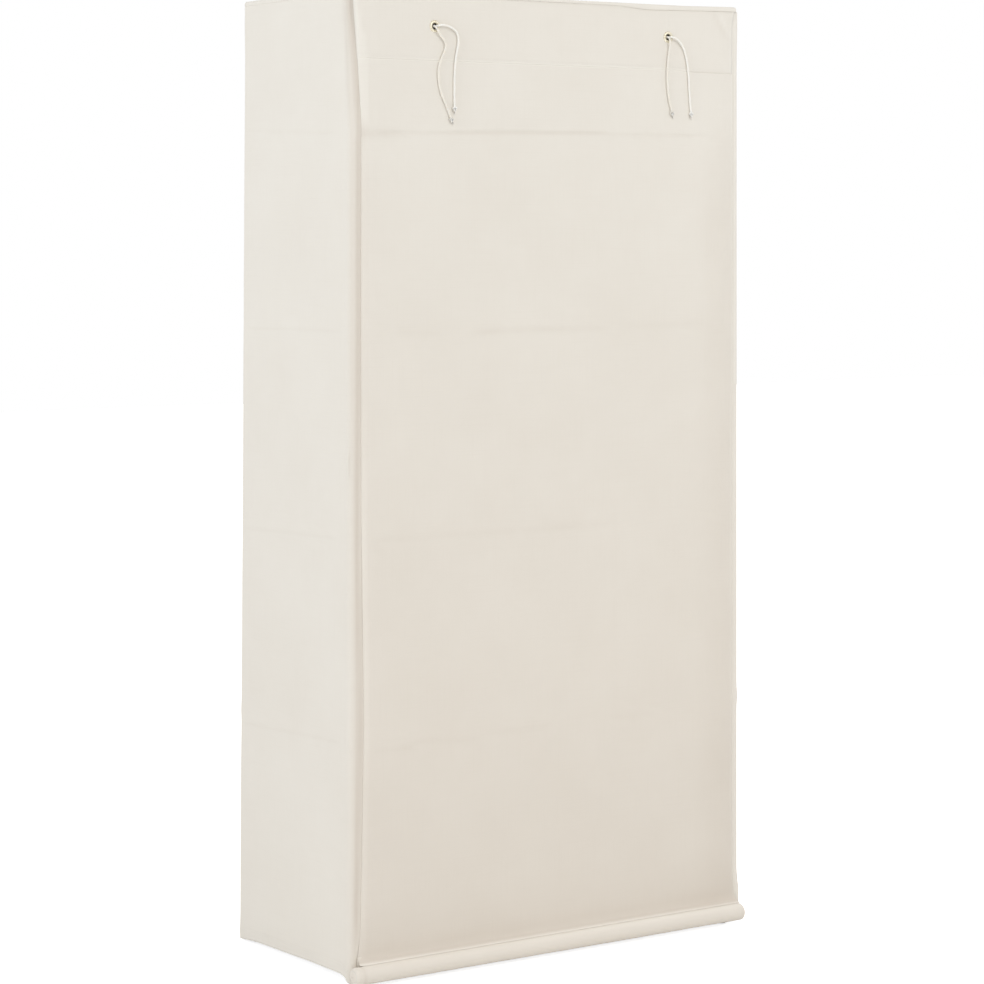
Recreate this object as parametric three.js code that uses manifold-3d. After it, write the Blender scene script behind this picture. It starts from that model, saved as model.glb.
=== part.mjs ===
// Portable fabric wardrobe: a plugged steel-tube frame with two cloth shelves and a hanging rail,
// under a sewn cloth cover whose front curtain rolls up on a hem bar.
// Millimetres, +Z up. The front faces -Y and +X is to the right. The origin is on the floor,
// in the middle of the footprint.
import * as THREE from "three";
import { mergeVertices } from "three/addons/utils/BufferGeometryUtils.js";
import Module from "manifold-3d";

const wasm = await Module();
wasm.setup();

// Cover
const WIDTH = 820;
const DEPTH = 390;
const HEIGHT = 1700;
const CLOTH = 1.2;
const BAND_HEIGHT = 109;
const BAND_INSET = 14;
const BAND_LAYERS = 2;
const SIDE_CLEARANCE = 12;
const SIDE_FLARE = 12;
const FACING_WIDTH = 46;
const FACING_SETBACK = 7;
const CURTAIN_INSET = 16;
const TOP_SPREAD = 100;
const FOOT_SPREAD = 45;

// Fits
const GAP = 0.3;
const OVERRUN = 1;

// Frame tubes and their plastic connectors
const TUBE_RADIUS = 8;
const TUBE_WALL = 1;
const SOCKET_WALL = 2.7;
const HUB_SWELL = 1;
const SOCKET_DEPTH = 24;
const SOCKET_STOP = 10;
const SHELF_LEVEL = 430;
const SHELF_END_CLEARANCE = 6;

// Feet
const FOOT_HEIGHT = 18;
const FOOT_RADIUS = 13.5;
const FOOT_RIM = 5;
const FOOT_TAPER = 2.5;
const SPIGOT_RADIUS = 5;
const SPIGOT_LENGTH = 11;

// Hanging rail and its two brackets
const HANGER_RADIUS = 11;
const HANGER_DROP = 62;
const BRACKET_WIDTH = 20;
const BRACKET_WALL = 3;
const BRACKET_SOCKET = 22;
const BRACKET_BACKING = 4;
const BRACKET_WEB = 8;

// Hem bar at the foot of the curtain
const HEM_ROD_RADIUS = 12;
const HEM_LAYERS = 3;
const HEM_PROUD = 26;
const HEM_CLEARANCE = 8;
const HEM_OVERHANG = 12;
const HEM_SEAM_HEIGHT = 16;
const HEM_SEAM_INSET = 5;
const CAP_FLANGE = 2.4;
const CAP_PLUG_LENGTH = 15;

// Folds of the hanging curtain
const CREASE_PITCH = 350;
const FIRST_CREASE = 416;
const CREASE_DEPTH = 2;
const CREASE_REACH = 16;
const EDGE_WAVE = 2.2;
const EDGE_WAVE_LENGTH = 210;
const EDGE_WAVE_REACH = 90;

// Eyelets and tie cords
const EYELET_SPACING = 496;
const EYELET_DROP = 52.5;
const EYELET_RADIUS = 10.5;
const EYELET_BORE = 5.2;
const EYELET_WALL = 0.7;
const EYELET_LIP = 1;
const CORD_RADIUS = 1.75;
const KNOT_RADIUS = 7;
const KNOT_FLATNESS_SHARE = 0.8;

// Facets
const ROUND_SIDES = 16;
const HUB_RINGS = 8;
const CORD_SIDES = 8;
const CORD_STEPS = 19;
const CORNER_STEPS = 6;
const CURTAIN_COLUMNS = 14;
const CURTAIN_ROW_HEIGHT = 95;

// Worked out from the sizes above
const SOCKET_RADIUS = TUBE_RADIUS + GAP + SOCKET_WALL;
const HUB_RADIUS = SOCKET_RADIUS + HUB_SWELL;
const ARM_LENGTH = SOCKET_STOP + SOCKET_DEPTH;
const BAND_THICKNESS = BAND_LAYERS * CLOTH;
const HEM_RADIUS = HEM_ROD_RADIUS + GAP + HEM_LAYERS * CLOTH;
const BACK_FACE = (DEPTH + HEM_PROUD) / 2;
const FRONT_FACE = BACK_FACE - DEPTH;
const SIDE_FACE = WIDTH / 2;
const FACING_FACE = FRONT_FACE + FACING_SETBACK;
const POST_OFFSET = CLOTH + GAP + HUB_RADIUS;
const POST_X = SIDE_FACE - POST_OFFSET;
const POST_FRONT = FACING_FACE + POST_OFFSET;
const POST_BACK = BACK_FACE - POST_OFFSET;
const BASE_LEVEL = FOOT_HEIGHT + GAP + HUB_RADIUS;
const TOP_LEVEL = HEIGHT - CLOTH - GAP - HUB_RADIUS;
const PANEL_TOP = HEIGHT - CLOTH - GAP;
const BAND_BOTTOM = PANEL_TOP - BAND_HEIGHT;
const CURTAIN_TOP = BAND_BOTTOM - GAP;
const CURTAIN_REACH = SIDE_FACE - CURTAIN_INSET;
const EYELET_LEVEL = HEIGHT - EYELET_DROP;
const HEM_Y = FRONT_FACE - HEM_PROUD + HEM_RADIUS;
const HEM_Z = HEM_CLEARANCE + HEM_RADIUS;
const HEM_HALF_LENGTH = SIDE_FACE + HEM_OVERHANG;
const HEM_SEAM_REACH = HEM_HALF_LENGTH - HEM_SEAM_INSET;
const HEM_SEAM_RISE = (HEM_RADIUS + GAP) ** 2 - (FRONT_FACE - HEM_Y) ** 2;
const HEM_SEAM_BOTTOM = HEM_Z + Math.sqrt(Math.max(0, HEM_SEAM_RISE));
const CURTAIN_BOTTOM = HEM_SEAM_BOTTOM + HEM_SEAM_HEIGHT + GAP;

// Colours
const cloth = { color: 0xe6dfd3, roughness: 0.95, metalness: 0 };
const shelfCloth = { color: 0xd9d2c6, roughness: 0.95, metalness: 0 };
const steel = { color: 0xb9bbbd, roughness: 0.4, metalness: 0.6 };
const darkPlastic = { color: 0x2d2c2b, roughness: 0.6, metalness: 0 };
const palePlastic = { color: 0xdedad2, roughness: 0.5, metalness: 0 };
const agedBrass = { color: 0x7c6a44, roughness: 0.35, metalness: 1 };
const cotton = { color: 0xe2dccf, roughness: 0.95, metalness: 0 };

const wardrobe = new THREE.Group();
const X = new THREE.Vector3(1, 0, 0);
const Y = new THREE.Vector3(0, 1, 0);
const Z = new THREE.Vector3(0, 0, 1);

function addMesh(name, geometry, finish, position = new THREE.Vector3()) {
  const mesh = new THREE.Mesh(geometry, new THREE.MeshStandardMaterial(finish));
  mesh.name = name;
  mesh.position.copy(position);
  wardrobe.add(mesh);
}

// Joining and cutting
function toSolid(geometry) {
  const bare = geometry.clone();
  bare.deleteAttribute("normal");
  bare.deleteAttribute("uv");
  const merged = mergeVertices(bare);
  return new wasm.Manifold(
    new wasm.Mesh({
      numProp: 3,
      vertProperties: new Float32Array(merged.attributes.position.array),
      triVerts: new Uint32Array(merged.index.array),
    }),
  );
}

function toGeometry(solid) {
  const mesh = solid.getMesh();
  const geometry = new THREE.BufferGeometry();
  geometry.setAttribute("position", new THREE.BufferAttribute(mesh.vertProperties, 3));
  geometry.setIndex(new THREE.BufferAttribute(mesh.triVerts, 1));
  return geometry;
}

function joinSolids(solids) {
  return solids.reduce((whole, next) => whole.add(next));
}

// A round bar from one distance to another along a direction, out of the origin.
function bar(radius, from, to, direction) {
  const geometry = new THREE.CylinderGeometry(radius, radius, to - from, ROUND_SIDES);
  geometry.translate(0, (from + to) / 2, 0);
  geometry.applyQuaternion(new THREE.Quaternion().setFromUnitVectors(Y, direction));
  return geometry;
}

// A tube open at both ends, centred on the origin.
function tube(radius, wall, length, direction) {
  const half = length / 2;
  const inner = radius - wall;
  const profile = [
    new THREE.Vector2(inner, -half),
    new THREE.Vector2(radius, -half),
    new THREE.Vector2(radius, half),
    new THREE.Vector2(inner, half),
    new THREE.Vector2(inner, -half),
  ];
  const geometry = new THREE.LatheGeometry(profile, ROUND_SIDES);
  geometry.applyQuaternion(new THREE.Quaternion().setFromUnitVectors(Y, direction));
  return geometry;
}

// A turned piece from a profile of radius and distance along its axis.
function turned(profile, direction) {
  const points = profile.map(([radius, along]) => new THREE.Vector2(radius, along));
  const geometry = new THREE.LatheGeometry(points, ROUND_SIDES);
  geometry.applyQuaternion(new THREE.Quaternion().setFromUnitVectors(Y, direction));
  return geometry;
}

function arc(centreX, centreY, radius, fromAngle, toAngle, steps) {
  return Array.from({ length: steps + 1 }, (_, i) => {
    const angle = fromAngle + ((toAngle - fromAngle) * i) / steps;
    return new THREE.Vector2(centreX + radius * Math.cos(angle), centreY + radius * Math.sin(angle));
  });
}

// A slab between two corners.
function slab(low, high) {
  const size = new THREE.Vector3().subVectors(high, low);
  const centre = new THREE.Vector3().addVectors(low, high).multiplyScalar(0.5);
  return new THREE.BoxGeometry(size.x, size.y, size.z).translate(centre.x, centre.y, centre.z);
}

// Connectors: a hub with one socket for each tube that plugs in.
function socketHub(socketDirections, shortArm) {
  const hub = new THREE.SphereGeometry(HUB_RADIUS, ROUND_SIDES, HUB_RINGS);
  hub.applyQuaternion(new THREE.Quaternion().setFromUnitVectors(Y, Z));
  const arms = socketDirections.map((d) => toSolid(bar(SOCKET_RADIUS, 0, ARM_LENGTH, d)));
  const boreRadius = TUBE_RADIUS + GAP;
  const bores = socketDirections.map((d) => toSolid(bar(boreRadius, SOCKET_STOP, ARM_LENGTH + OVERRUN, d)));
  const extras = shortArm ? shortArm.map(toSolid) : [];
  return toGeometry(joinSolids([toSolid(hub), ...arms, ...extras]).subtract(joinSolids(bores)));
}

function footSpigot() {
  const down = Z.clone().negate();
  return [bar(SOCKET_RADIUS, 0, HUB_RADIUS, down), bar(SPIGOT_RADIUS, 0, HUB_RADIUS + SPIGOT_LENGTH, down)];
}

function foot() {
  const holeRadius = SPIGOT_RADIUS + GAP;
  const holeFloor = FOOT_HEIGHT - SPIGOT_LENGTH;
  return turned(
    [
      [0, 0],
      [FOOT_RADIUS, 0],
      [FOOT_RADIUS, FOOT_RIM],
      [SOCKET_RADIUS, FOOT_RIM + FOOT_TAPER],
      [SOCKET_RADIUS, FOOT_HEIGHT],
      [holeRadius, FOOT_HEIGHT],
      [holeRadius, holeFloor],
      [0, holeFloor],
    ],
    Z,
  );
}

const corners = [
  { name: "front_left", x: -POST_X, y: POST_FRONT, inX: X, inY: Y },
  { name: "front_right", x: POST_X, y: POST_FRONT, inX: X.clone().negate(), inY: Y },
  { name: "back_left", x: -POST_X, y: POST_BACK, inX: X, inY: Y.clone().negate() },
  { name: "back_right", x: POST_X, y: POST_BACK, inX: X.clone().negate(), inY: Y.clone().negate() },
];

function post(from, to) {
  const length = to - from - 2 * (SOCKET_STOP + GAP);
  return { geometry: tube(TUBE_RADIUS, TUBE_WALL, length, Z), middle: (from + to) / 2 };
}

function addCorner({ name, x, y, inX, inY }) {
  const at = (z) => new THREE.Vector3(x, y, z);
  const down = Z.clone().negate();
  addMesh(`foot_${name}`, foot(), darkPlastic, at(0));
  addMesh(`base_connector_${name}`, socketHub([inX, inY, Z], footSpigot()), darkPlastic, at(BASE_LEVEL));
  addMesh(`shelf_connector_${name}`, socketHub([inX, inY, Z, down]), darkPlastic, at(SHELF_LEVEL));
  addMesh(`top_connector_${name}`, socketHub([inX, inY, down]), darkPlastic, at(TOP_LEVEL));
  const lower = post(BASE_LEVEL, SHELF_LEVEL);
  addMesh(`lower_post_${name}`, lower.geometry, steel, at(lower.middle));
  const upper = post(SHELF_LEVEL, TOP_LEVEL);
  addMesh(`upper_post_${name}`, upper.geometry, steel, at(upper.middle));
}

// Rails between the posts, at each of the three levels
function addRails(level, z) {
  const tubeEnd = SOCKET_STOP + GAP;
  const across = tube(TUBE_RADIUS, TUBE_WALL, 2 * (POST_X - tubeEnd), X);
  const along = tube(TUBE_RADIUS, TUBE_WALL, POST_BACK - POST_FRONT - 2 * tubeEnd, Y);
  const middleY = (POST_FRONT + POST_BACK) / 2;
  addMesh(`${level}_rail_front`, across, steel, new THREE.Vector3(0, POST_FRONT, z));
  addMesh(`${level}_rail_back`, across.clone(), steel, new THREE.Vector3(0, POST_BACK, z));
  addMesh(`${level}_rail_left`, along, steel, new THREE.Vector3(-POST_X, middleY, z));
  addMesh(`${level}_rail_right`, along.clone(), steel, new THREE.Vector3(POST_X, middleY, z));
}

// A cloth shelf: a flat web with a sleeve sewn round the front rail and another round the back rail.
function clothShelf() {
  const inner = TUBE_RADIUS + GAP;
  const outer = inner + CLOTH;
  const meet = Math.asin(inner / outer);
  const top = Math.PI / 2;
  const turn = 2 * Math.PI;
  const section = new THREE.Shape([
    ...arc(POST_FRONT, 0, outer, top, turn + meet, ROUND_SIDES),
    ...arc(POST_BACK, 0, outer, Math.PI - meet, turn + top, ROUND_SIDES),
  ]);
  for (const railY of [POST_FRONT, POST_BACK]) {
    section.holes.push(new THREE.Path(arc(railY, 0, inner, turn, turn / ROUND_SIDES, ROUND_SIDES - 1)));
  }
  const length = 2 * (POST_X - ARM_LENGTH - SHELF_END_CLEARANCE);
  const geometry = new THREE.ExtrudeGeometry(section, { depth: length, bevelEnabled: false });
  geometry.translate(0, 0, -length / 2);
  return geometry.applyMatrix4(new THREE.Matrix4().makeBasis(Y, Z, X));
}

// Hanging rail bracket: a collar on the side rail, a web down and a socket for the rail's end.
const BRACKET_BORE_START = BRACKET_BACKING - BRACKET_WIDTH / 2;

function hangerBracket(inward) {
  const half = BRACKET_WIDTH / 2;
  const collar = bar(TUBE_RADIUS + GAP + BRACKET_WALL, -half, half, Y);
  const socket = bar(HANGER_RADIUS + GAP + BRACKET_WALL, -half, BRACKET_SOCKET, inward);
  socket.translate(0, 0, -HANGER_DROP);
  const web = new THREE.BoxGeometry(BRACKET_WIDTH, BRACKET_WEB, HANGER_DROP);
  web.translate(0, 0, -HANGER_DROP / 2);
  const railBore = bar(TUBE_RADIUS + GAP, -half - OVERRUN, half + OVERRUN, Y);
  const socketBore = bar(HANGER_RADIUS + GAP, BRACKET_BORE_START, BRACKET_SOCKET + OVERRUN, inward);
  socketBore.translate(0, 0, -HANGER_DROP);
  const body = joinSolids([collar, socket, web].map(toSolid));
  return toGeometry(body.subtract(joinSolids([railBore, socketBore].map(toSolid))));
}

function addHangingRail() {
  const middleY = (POST_FRONT + POST_BACK) / 2;
  const length = 2 * (POST_X - BRACKET_BORE_START - GAP);
  const rail = tube(HANGER_RADIUS, TUBE_WALL, length, X);
  addMesh("hanging_rail", rail, steel, new THREE.Vector3(0, middleY, TOP_LEVEL - HANGER_DROP));
  const left = new THREE.Vector3(-POST_X, middleY, TOP_LEVEL);
  const right = new THREE.Vector3(POST_X, middleY, TOP_LEVEL);
  addMesh("hanging_rail_bracket_left", hangerBracket(X), darkPlastic, left);
  addMesh("hanging_rail_bracket_right", hangerBracket(X.clone().negate()), darkPlastic, right);
}

// Side panel of the cover: flat cloth that turns round the front post and ends in a facing
// behind the curtain, and leans outward towards its foot. side is -1 on the left and 1 on the right.
function sidePanel(side) {
  const backEnd = BACK_FACE - CLOTH - GAP;
  const facingEnd = FACING_WIDTH - SIDE_FACE;
  const outerBend = arc(-POST_X, POST_FRONT, POST_OFFSET, Math.PI, 1.5 * Math.PI, CORNER_STEPS);
  const innerBend = arc(-POST_X, POST_FRONT, POST_OFFSET - CLOTH, 1.5 * Math.PI, Math.PI, CORNER_STEPS);
  const outline = [
    new THREE.Vector2(-SIDE_FACE, backEnd),
    ...outerBend,
    new THREE.Vector2(facingEnd, FACING_FACE),
    new THREE.Vector2(facingEnd, FACING_FACE + CLOTH),
    ...innerBend,
    new THREE.Vector2(CLOTH - SIDE_FACE, backEnd),
  ];
  const plan = new THREE.Shape(outline.map((point) => new THREE.Vector2(-side * point.x, point.y)));
  const height = PANEL_TOP - SIDE_CLEARANCE;
  const panel = new THREE.ExtrudeGeometry(plan, { depth: height, bevelEnabled: false });
  const flare = side * SIDE_FLARE;
  const lean = new THREE.Matrix4().makeShear(0, 0, 0, 0, -flare / height, 0);
  return panel.applyMatrix4(lean).translate(flare, 0, 0);
}

// An upright shape, level with the middle, from its half width below to its half width above.
function trapezoid(lowHalf, highHalf, low, high) {
  return new THREE.Shape([
    new THREE.Vector2(-lowHalf, low),
    new THREE.Vector2(lowHalf, low),
    new THREE.Vector2(highHalf, high),
    new THREE.Vector2(-highHalf, high),
  ]);
}

// An upright sheet with its front at a distance along Y.
function uprightSheet(shape, thickness, front) {
  const sheet = new THREE.ExtrudeGeometry(shape, { depth: thickness, bevelEnabled: false });
  sheet.applyMatrix4(new THREE.Matrix4().makeBasis(X, Z, Y.clone().negate()));
  return sheet.translate(0, front + thickness, 0);
}

// Front band: doubled cloth across the top of the front, with a hole for each eyelet.
function frontBand() {
  const holeRadius = EYELET_BORE + EYELET_WALL + GAP;
  const outline = trapezoid(SIDE_FACE - BAND_INSET, SIDE_FACE, BAND_BOTTOM, PANEL_TOP);
  const turn = 2 * Math.PI;
  for (const x of [-EYELET_SPACING / 2, EYELET_SPACING / 2]) {
    const rim = arc(x, EYELET_LEVEL, holeRadius, turn, turn / ROUND_SIDES, ROUND_SIDES - 1);
    outline.holes.push(new THREE.Path(rim));
  }
  return uprightSheet(outline, BAND_THICKNESS, FRONT_FACE);
}

function addCover() {
  const backOutline = trapezoid(SIDE_FACE + SIDE_FLARE, SIDE_FACE, SIDE_CLEARANCE, PANEL_TOP);
  const backPanel = uprightSheet(backOutline, CLOTH, BACK_FACE - CLOTH);
  const topPanel = slab(
    new THREE.Vector3(-SIDE_FACE, FRONT_FACE, HEIGHT - CLOTH),
    new THREE.Vector3(SIDE_FACE, BACK_FACE, HEIGHT),
  );
  addMesh("cover_left_panel", sidePanel(-1), cloth, new THREE.Vector3(0, 0, SIDE_CLEARANCE));
  addMesh("cover_right_panel", sidePanel(1), cloth, new THREE.Vector3(0, 0, SIDE_CLEARANCE));
  addMesh("cover_back_panel", backPanel, cloth);
  addMesh("cover_top_panel", topPanel, cloth);
  addMesh("cover_front_band", frontBand(), cloth);
}

// Creases across the curtain, at an even pitch as far up as it hangs free.
const creases = [];
for (let z = FIRST_CREASE; z < CURTAIN_TOP - CREASE_REACH; z += CREASE_PITCH) creases.push(z);

// Half the curtain's width at a height: it spreads to meet the band above and the hem bar below.
function curtainReach(z) {
  const nearTop = Math.max(0, 1 - (CURTAIN_TOP - z) / TOP_SPREAD);
  const nearFoot = Math.max(0, 1 - (z - CURTAIN_BOTTOM) / FOOT_SPREAD);
  const toBand = SIDE_FACE - BAND_INSET - CURTAIN_REACH;
  return CURTAIN_REACH + toBand * nearTop + (HEM_SEAM_REACH - CURTAIN_REACH) * nearFoot;
}

// How far the hanging curtain stands behind its flat plane at a place x, z: the creases left by
// folding it flat, and a soft wave down its right edge. Both die out at the band and at the hem.
function curtainFold(x, z) {
  let fold = 0;
  creases.forEach((crease, i) => {
    const away = Math.abs(z - crease) / CREASE_REACH;
    fold += (i % 2 ? -CREASE_DEPTH : CREASE_DEPTH) * Math.max(0, 1 - away);
  });
  const nearEdge = Math.max(0, 1 - (curtainReach(z) - x) / EDGE_WAVE_REACH);
  const fromEnds = Math.min(z - CURTAIN_BOTTOM, CURTAIN_TOP - z) / EDGE_WAVE_REACH;
  const wave = EDGE_WAVE * nearEdge * Math.sin((2 * Math.PI * z) / EDGE_WAVE_LENGTH);
  return fold + wave * Math.min(1, Math.max(0, fromEnds));
}

// Heights of the curtain's rows: each crease has a row on it and one at each foot of it, and the
// spread over the hem bar has its own.
function curtainRows() {
  const heights = new Set([CURTAIN_BOTTOM, CURTAIN_TOP]);
  const stops = [CURTAIN_BOTTOM, CURTAIN_BOTTOM + FOOT_SPREAD];
  for (const crease of creases) stops.push(crease - CREASE_REACH, crease, crease + CREASE_REACH);
  stops.push(CURTAIN_TOP);
  for (let i = 1; i < stops.length; i++) {
    const steps = Math.max(1, Math.round((stops[i] - stops[i - 1]) / CURTAIN_ROW_HEIGHT));
    for (let k = 0; k < steps; k++) {
      heights.add(stops[i - 1] + ((stops[i] - stops[i - 1]) * k) / steps);
    }
  }
  return [...heights].sort((a, b) => a - b);
}

// A closed sheet of cloth over a grid of places, with a front and a back face and a rim. shares
// run from -1 at the left edge to 1 at the right, and reach is half the width at a height.
function clothSheet(shares, rows, reach, frontY) {
  const across = shares.length;
  const count = across * rows.length;
  const positions = [];
  for (const thickness of [0, CLOTH]) {
    for (const z of rows) {
      for (const share of shares) {
        const x = share * reach(z);
        positions.push(x, frontY(x, z) + thickness, z);
      }
    }
  }
  const faces = [];
  const addFace = (a, b, c, d) => faces.push(a, b, c, a, c, d);
  for (let r = 0; r + 1 < rows.length; r++) {
    for (let c = 0; c + 1 < across; c++) {
      const i = r * across + c;
      addFace(i, i + 1, i + across + 1, i + across);
      addFace(count + i, count + i + across, count + i + across + 1, count + i + 1);
    }
  }
  for (let c = 0; c + 1 < across; c++) {
    const top = count - across + c;
    addFace(c, count + c, count + c + 1, c + 1);
    addFace(top, top + 1, count + top + 1, count + top);
  }
  for (let r = 0; r + 1 < rows.length; r++) {
    const left = r * across;
    const right = left + across - 1;
    addFace(left, left + across, count + left + across, count + left);
    addFace(right, count + right, count + right + across, right + across);
  }
  const geometry = new THREE.BufferGeometry();
  geometry.setAttribute("position", new THREE.Float32BufferAttribute(positions, 3));
  geometry.setIndex(faces);
  return geometry;
}

function curtain() {
  const shares = Array.from({ length: CURTAIN_COLUMNS + 1 }, (_, i) => (2 * i) / CURTAIN_COLUMNS - 1);
  return clothSheet(shares, curtainRows(), curtainReach, (x, z) => FRONT_FACE + curtainFold(x, z));
}

// Hem bar: a sewn sleeve of rolled cloth round a steel rod, with a plug in each end of the rod.
function hemCap(outward) {
  const plugRadius = HEM_ROD_RADIUS - TUBE_WALL - GAP;
  return turned(
    [
      [0, -CAP_FLANGE - GAP - CAP_PLUG_LENGTH],
      [plugRadius, -CAP_FLANGE - GAP - CAP_PLUG_LENGTH],
      [plugRadius, -CAP_FLANGE],
      [HEM_ROD_RADIUS, -CAP_FLANGE],
      [HEM_ROD_RADIUS, 0],
      [0, 0],
    ],
    outward,
  );
}

function addHem() {
  const axis = (x) => new THREE.Vector3(x, HEM_Y, HEM_Z);
  const sleeve = tube(HEM_RADIUS, HEM_LAYERS * CLOTH, 2 * HEM_HALF_LENGTH, X);
  const rod = tube(HEM_ROD_RADIUS, TUBE_WALL, 2 * (HEM_HALF_LENGTH - CAP_FLANGE - GAP), X);
  const seam = slab(
    new THREE.Vector3(-HEM_SEAM_REACH, FRONT_FACE, HEM_SEAM_BOTTOM),
    new THREE.Vector3(HEM_SEAM_REACH, FRONT_FACE + BAND_THICKNESS, HEM_SEAM_BOTTOM + HEM_SEAM_HEIGHT),
  );
  addMesh("curtain_hem_seam", seam, cloth);
  addMesh("hem_sleeve", sleeve, cloth, axis(0));
  addMesh("hem_rod", rod, steel, axis(0));
  addMesh("hem_rod_cap_left", hemCap(X.clone().negate()), palePlastic, axis(-HEM_HALF_LENGTH));
  addMesh("hem_rod_cap_right", hemCap(X), palePlastic, axis(HEM_HALF_LENGTH));
}

// Eyelet: two flanges and a barrel, pressed through the band.
function eyelet() {
  const barrel = EYELET_BORE + EYELET_WALL;
  const front = -GAP - EYELET_LIP;
  const back = BAND_THICKNESS + GAP + EYELET_LIP;
  return turned(
    [
      [EYELET_BORE, front],
      [EYELET_RADIUS, front],
      [EYELET_RADIUS, front + EYELET_LIP],
      [barrel, front + EYELET_LIP],
      [barrel, back - EYELET_LIP],
      [EYELET_RADIUS, back - EYELET_LIP],
      [EYELET_RADIUS, back],
      [EYELET_BORE, back],
      [EYELET_BORE, front],
    ],
    Y,
  );
}

// Tie cords: each tie is knotted behind its eyelet and hangs in two tails in front of the band.
// The points of a tail run from the knot to its free end.
const tails = {
  tie_left_inner: [
    [-250.05, -178.3, 1647.5], [-250, -183.5, 1647.5], [-249, -187, 1646.1], [-246, -187.9, 1641.5],
    [-239, -186.6, 1633], [-230.5, -185.4, 1623.5], [-227.6, -184.8, 1614.5], [-229.8, -184.4, 1605.5],
    [-234, -184.2, 1596.5], [-239.4, -184.2, 1584.5], [-241.8, -184.2, 1572.5], [-241.6, -184.2, 1559.5],
    [-239.8, -184.2, 1546.5], [-235.8, -184.2, 1533.5], [-229.9, -184.2, 1521], [-222.8, -184.2, 1505.5],
    [-215.8, -184.2, 1489.5],
  ],
  tie_left_outer: [
    [-245.95, -178.3, 1647.5], [-245.9, -183.5, 1647.6], [-244.8, -187.2, 1648.1], [-240.5, -189, 1649.1],
    [-231, -188, 1649.5], [-220.5, -186.6, 1647.5], [-210.5, -185.5, 1643], [-203.6, -184.9, 1635],
    [-201.6, -184.4, 1623.5], [-203.6, -184.2, 1610.5], [-206.6, -184.2, 1596.5], [-208.6, -184.2, 1578.5],
    [-209.8, -184.2, 1558.5], [-210, -184.2, 1541.5], [-209.8, -184.2, 1524.5], [-209.5, -184.2, 1508.2],
  ],
  tie_right_inner: [
    [245.95, -178.3, 1647.5], [246, -183.5, 1647.5], [246.8, -187, 1645.9], [248.4, -187.6, 1640.5],
    [249.2, -186.4, 1632.5], [248.6, -185.4, 1623.5], [247.4, -184.6, 1614.5], [246.2, -184.2, 1603.5],
    [245.2, -184.2, 1591.5], [244.8, -184.2, 1579.5], [245.2, -184.2, 1567.5], [246.2, -184.2, 1555.5],
    [247.6, -184.2, 1543.5], [250.4, -184.2, 1531.5], [253.4, -184.2, 1521.5], [256.3, -184.2, 1511.5],
  ],
  tie_right_outer: [
    [250.05, -178.3, 1647.5], [250.1, -183.5, 1647.5], [251.4, -187.2, 1647.3], [255.5, -188.6, 1646.9],
    [263, -187.6, 1644.5], [271, -186.4, 1639.5], [278.5, -185.4, 1631.5], [284, -184.8, 1621.5],
    [288, -184.4, 1609.5], [290.8, -184.2, 1596.5], [292.6, -184.2, 1582.5], [293.8, -184.2, 1568.5],
    [294.8, -184.2, 1554.5], [296, -184.2, 1539.5], [297.6, -184.2, 1524.5], [299.3, -184.2, 1510.5],
  ],
};

function tail(points) {
  const path = new THREE.CatmullRomCurve3(points.map((point) => new THREE.Vector3(...point)));
  const section = new THREE.Shape(arc(0, 0, CORD_RADIUS, 0, 2 * Math.PI, CORD_SIDES).slice(1));
  return new THREE.ExtrudeGeometry(section, { steps: CORD_STEPS, extrudePath: path, bevelEnabled: false });
}

function addTies() {
  const knotDepth = KNOT_RADIUS * KNOT_FLATNESS_SHARE;
  const knotY = FRONT_FACE + BAND_THICKNESS + 2 * GAP + EYELET_LIP + knotDepth;
  for (const [side, x] of [["left", -EYELET_SPACING / 2], ["right", EYELET_SPACING / 2]]) {
    const knot = new THREE.SphereGeometry(KNOT_RADIUS, CORD_SIDES, CORD_SIDES);
    knot.scale(1, KNOT_FLATNESS_SHARE, 1);
    addMesh(`eyelet_${side}`, eyelet(), agedBrass, new THREE.Vector3(x, FRONT_FACE, EYELET_LEVEL));
    addMesh(`tie_${side}_knot`, knot, cotton, new THREE.Vector3(x, knotY, EYELET_LEVEL));
  }
  for (const [name, points] of Object.entries(tails)) addMesh(name, tail(points), cotton);
}

corners.forEach(addCorner);
addRails("base", BASE_LEVEL);
addRails("shelf", SHELF_LEVEL);
addRails("top", TOP_LEVEL);
addHangingRail();
addMesh("base_shelf", clothShelf(), shelfCloth, new THREE.Vector3(0, 0, BASE_LEVEL));
addMesh("middle_shelf", clothShelf(), shelfCloth, new THREE.Vector3(0, 0, SHELF_LEVEL));
addCover();
addMesh("front_curtain", curtain(), cloth);
addHem();
addTies();

export default wardrobe;
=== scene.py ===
"""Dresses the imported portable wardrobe: metres, +Z up, the front faces -Y."""
import math

import bmesh
import bpy
import numpy as np
from mathutils import Matrix, Vector


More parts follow.
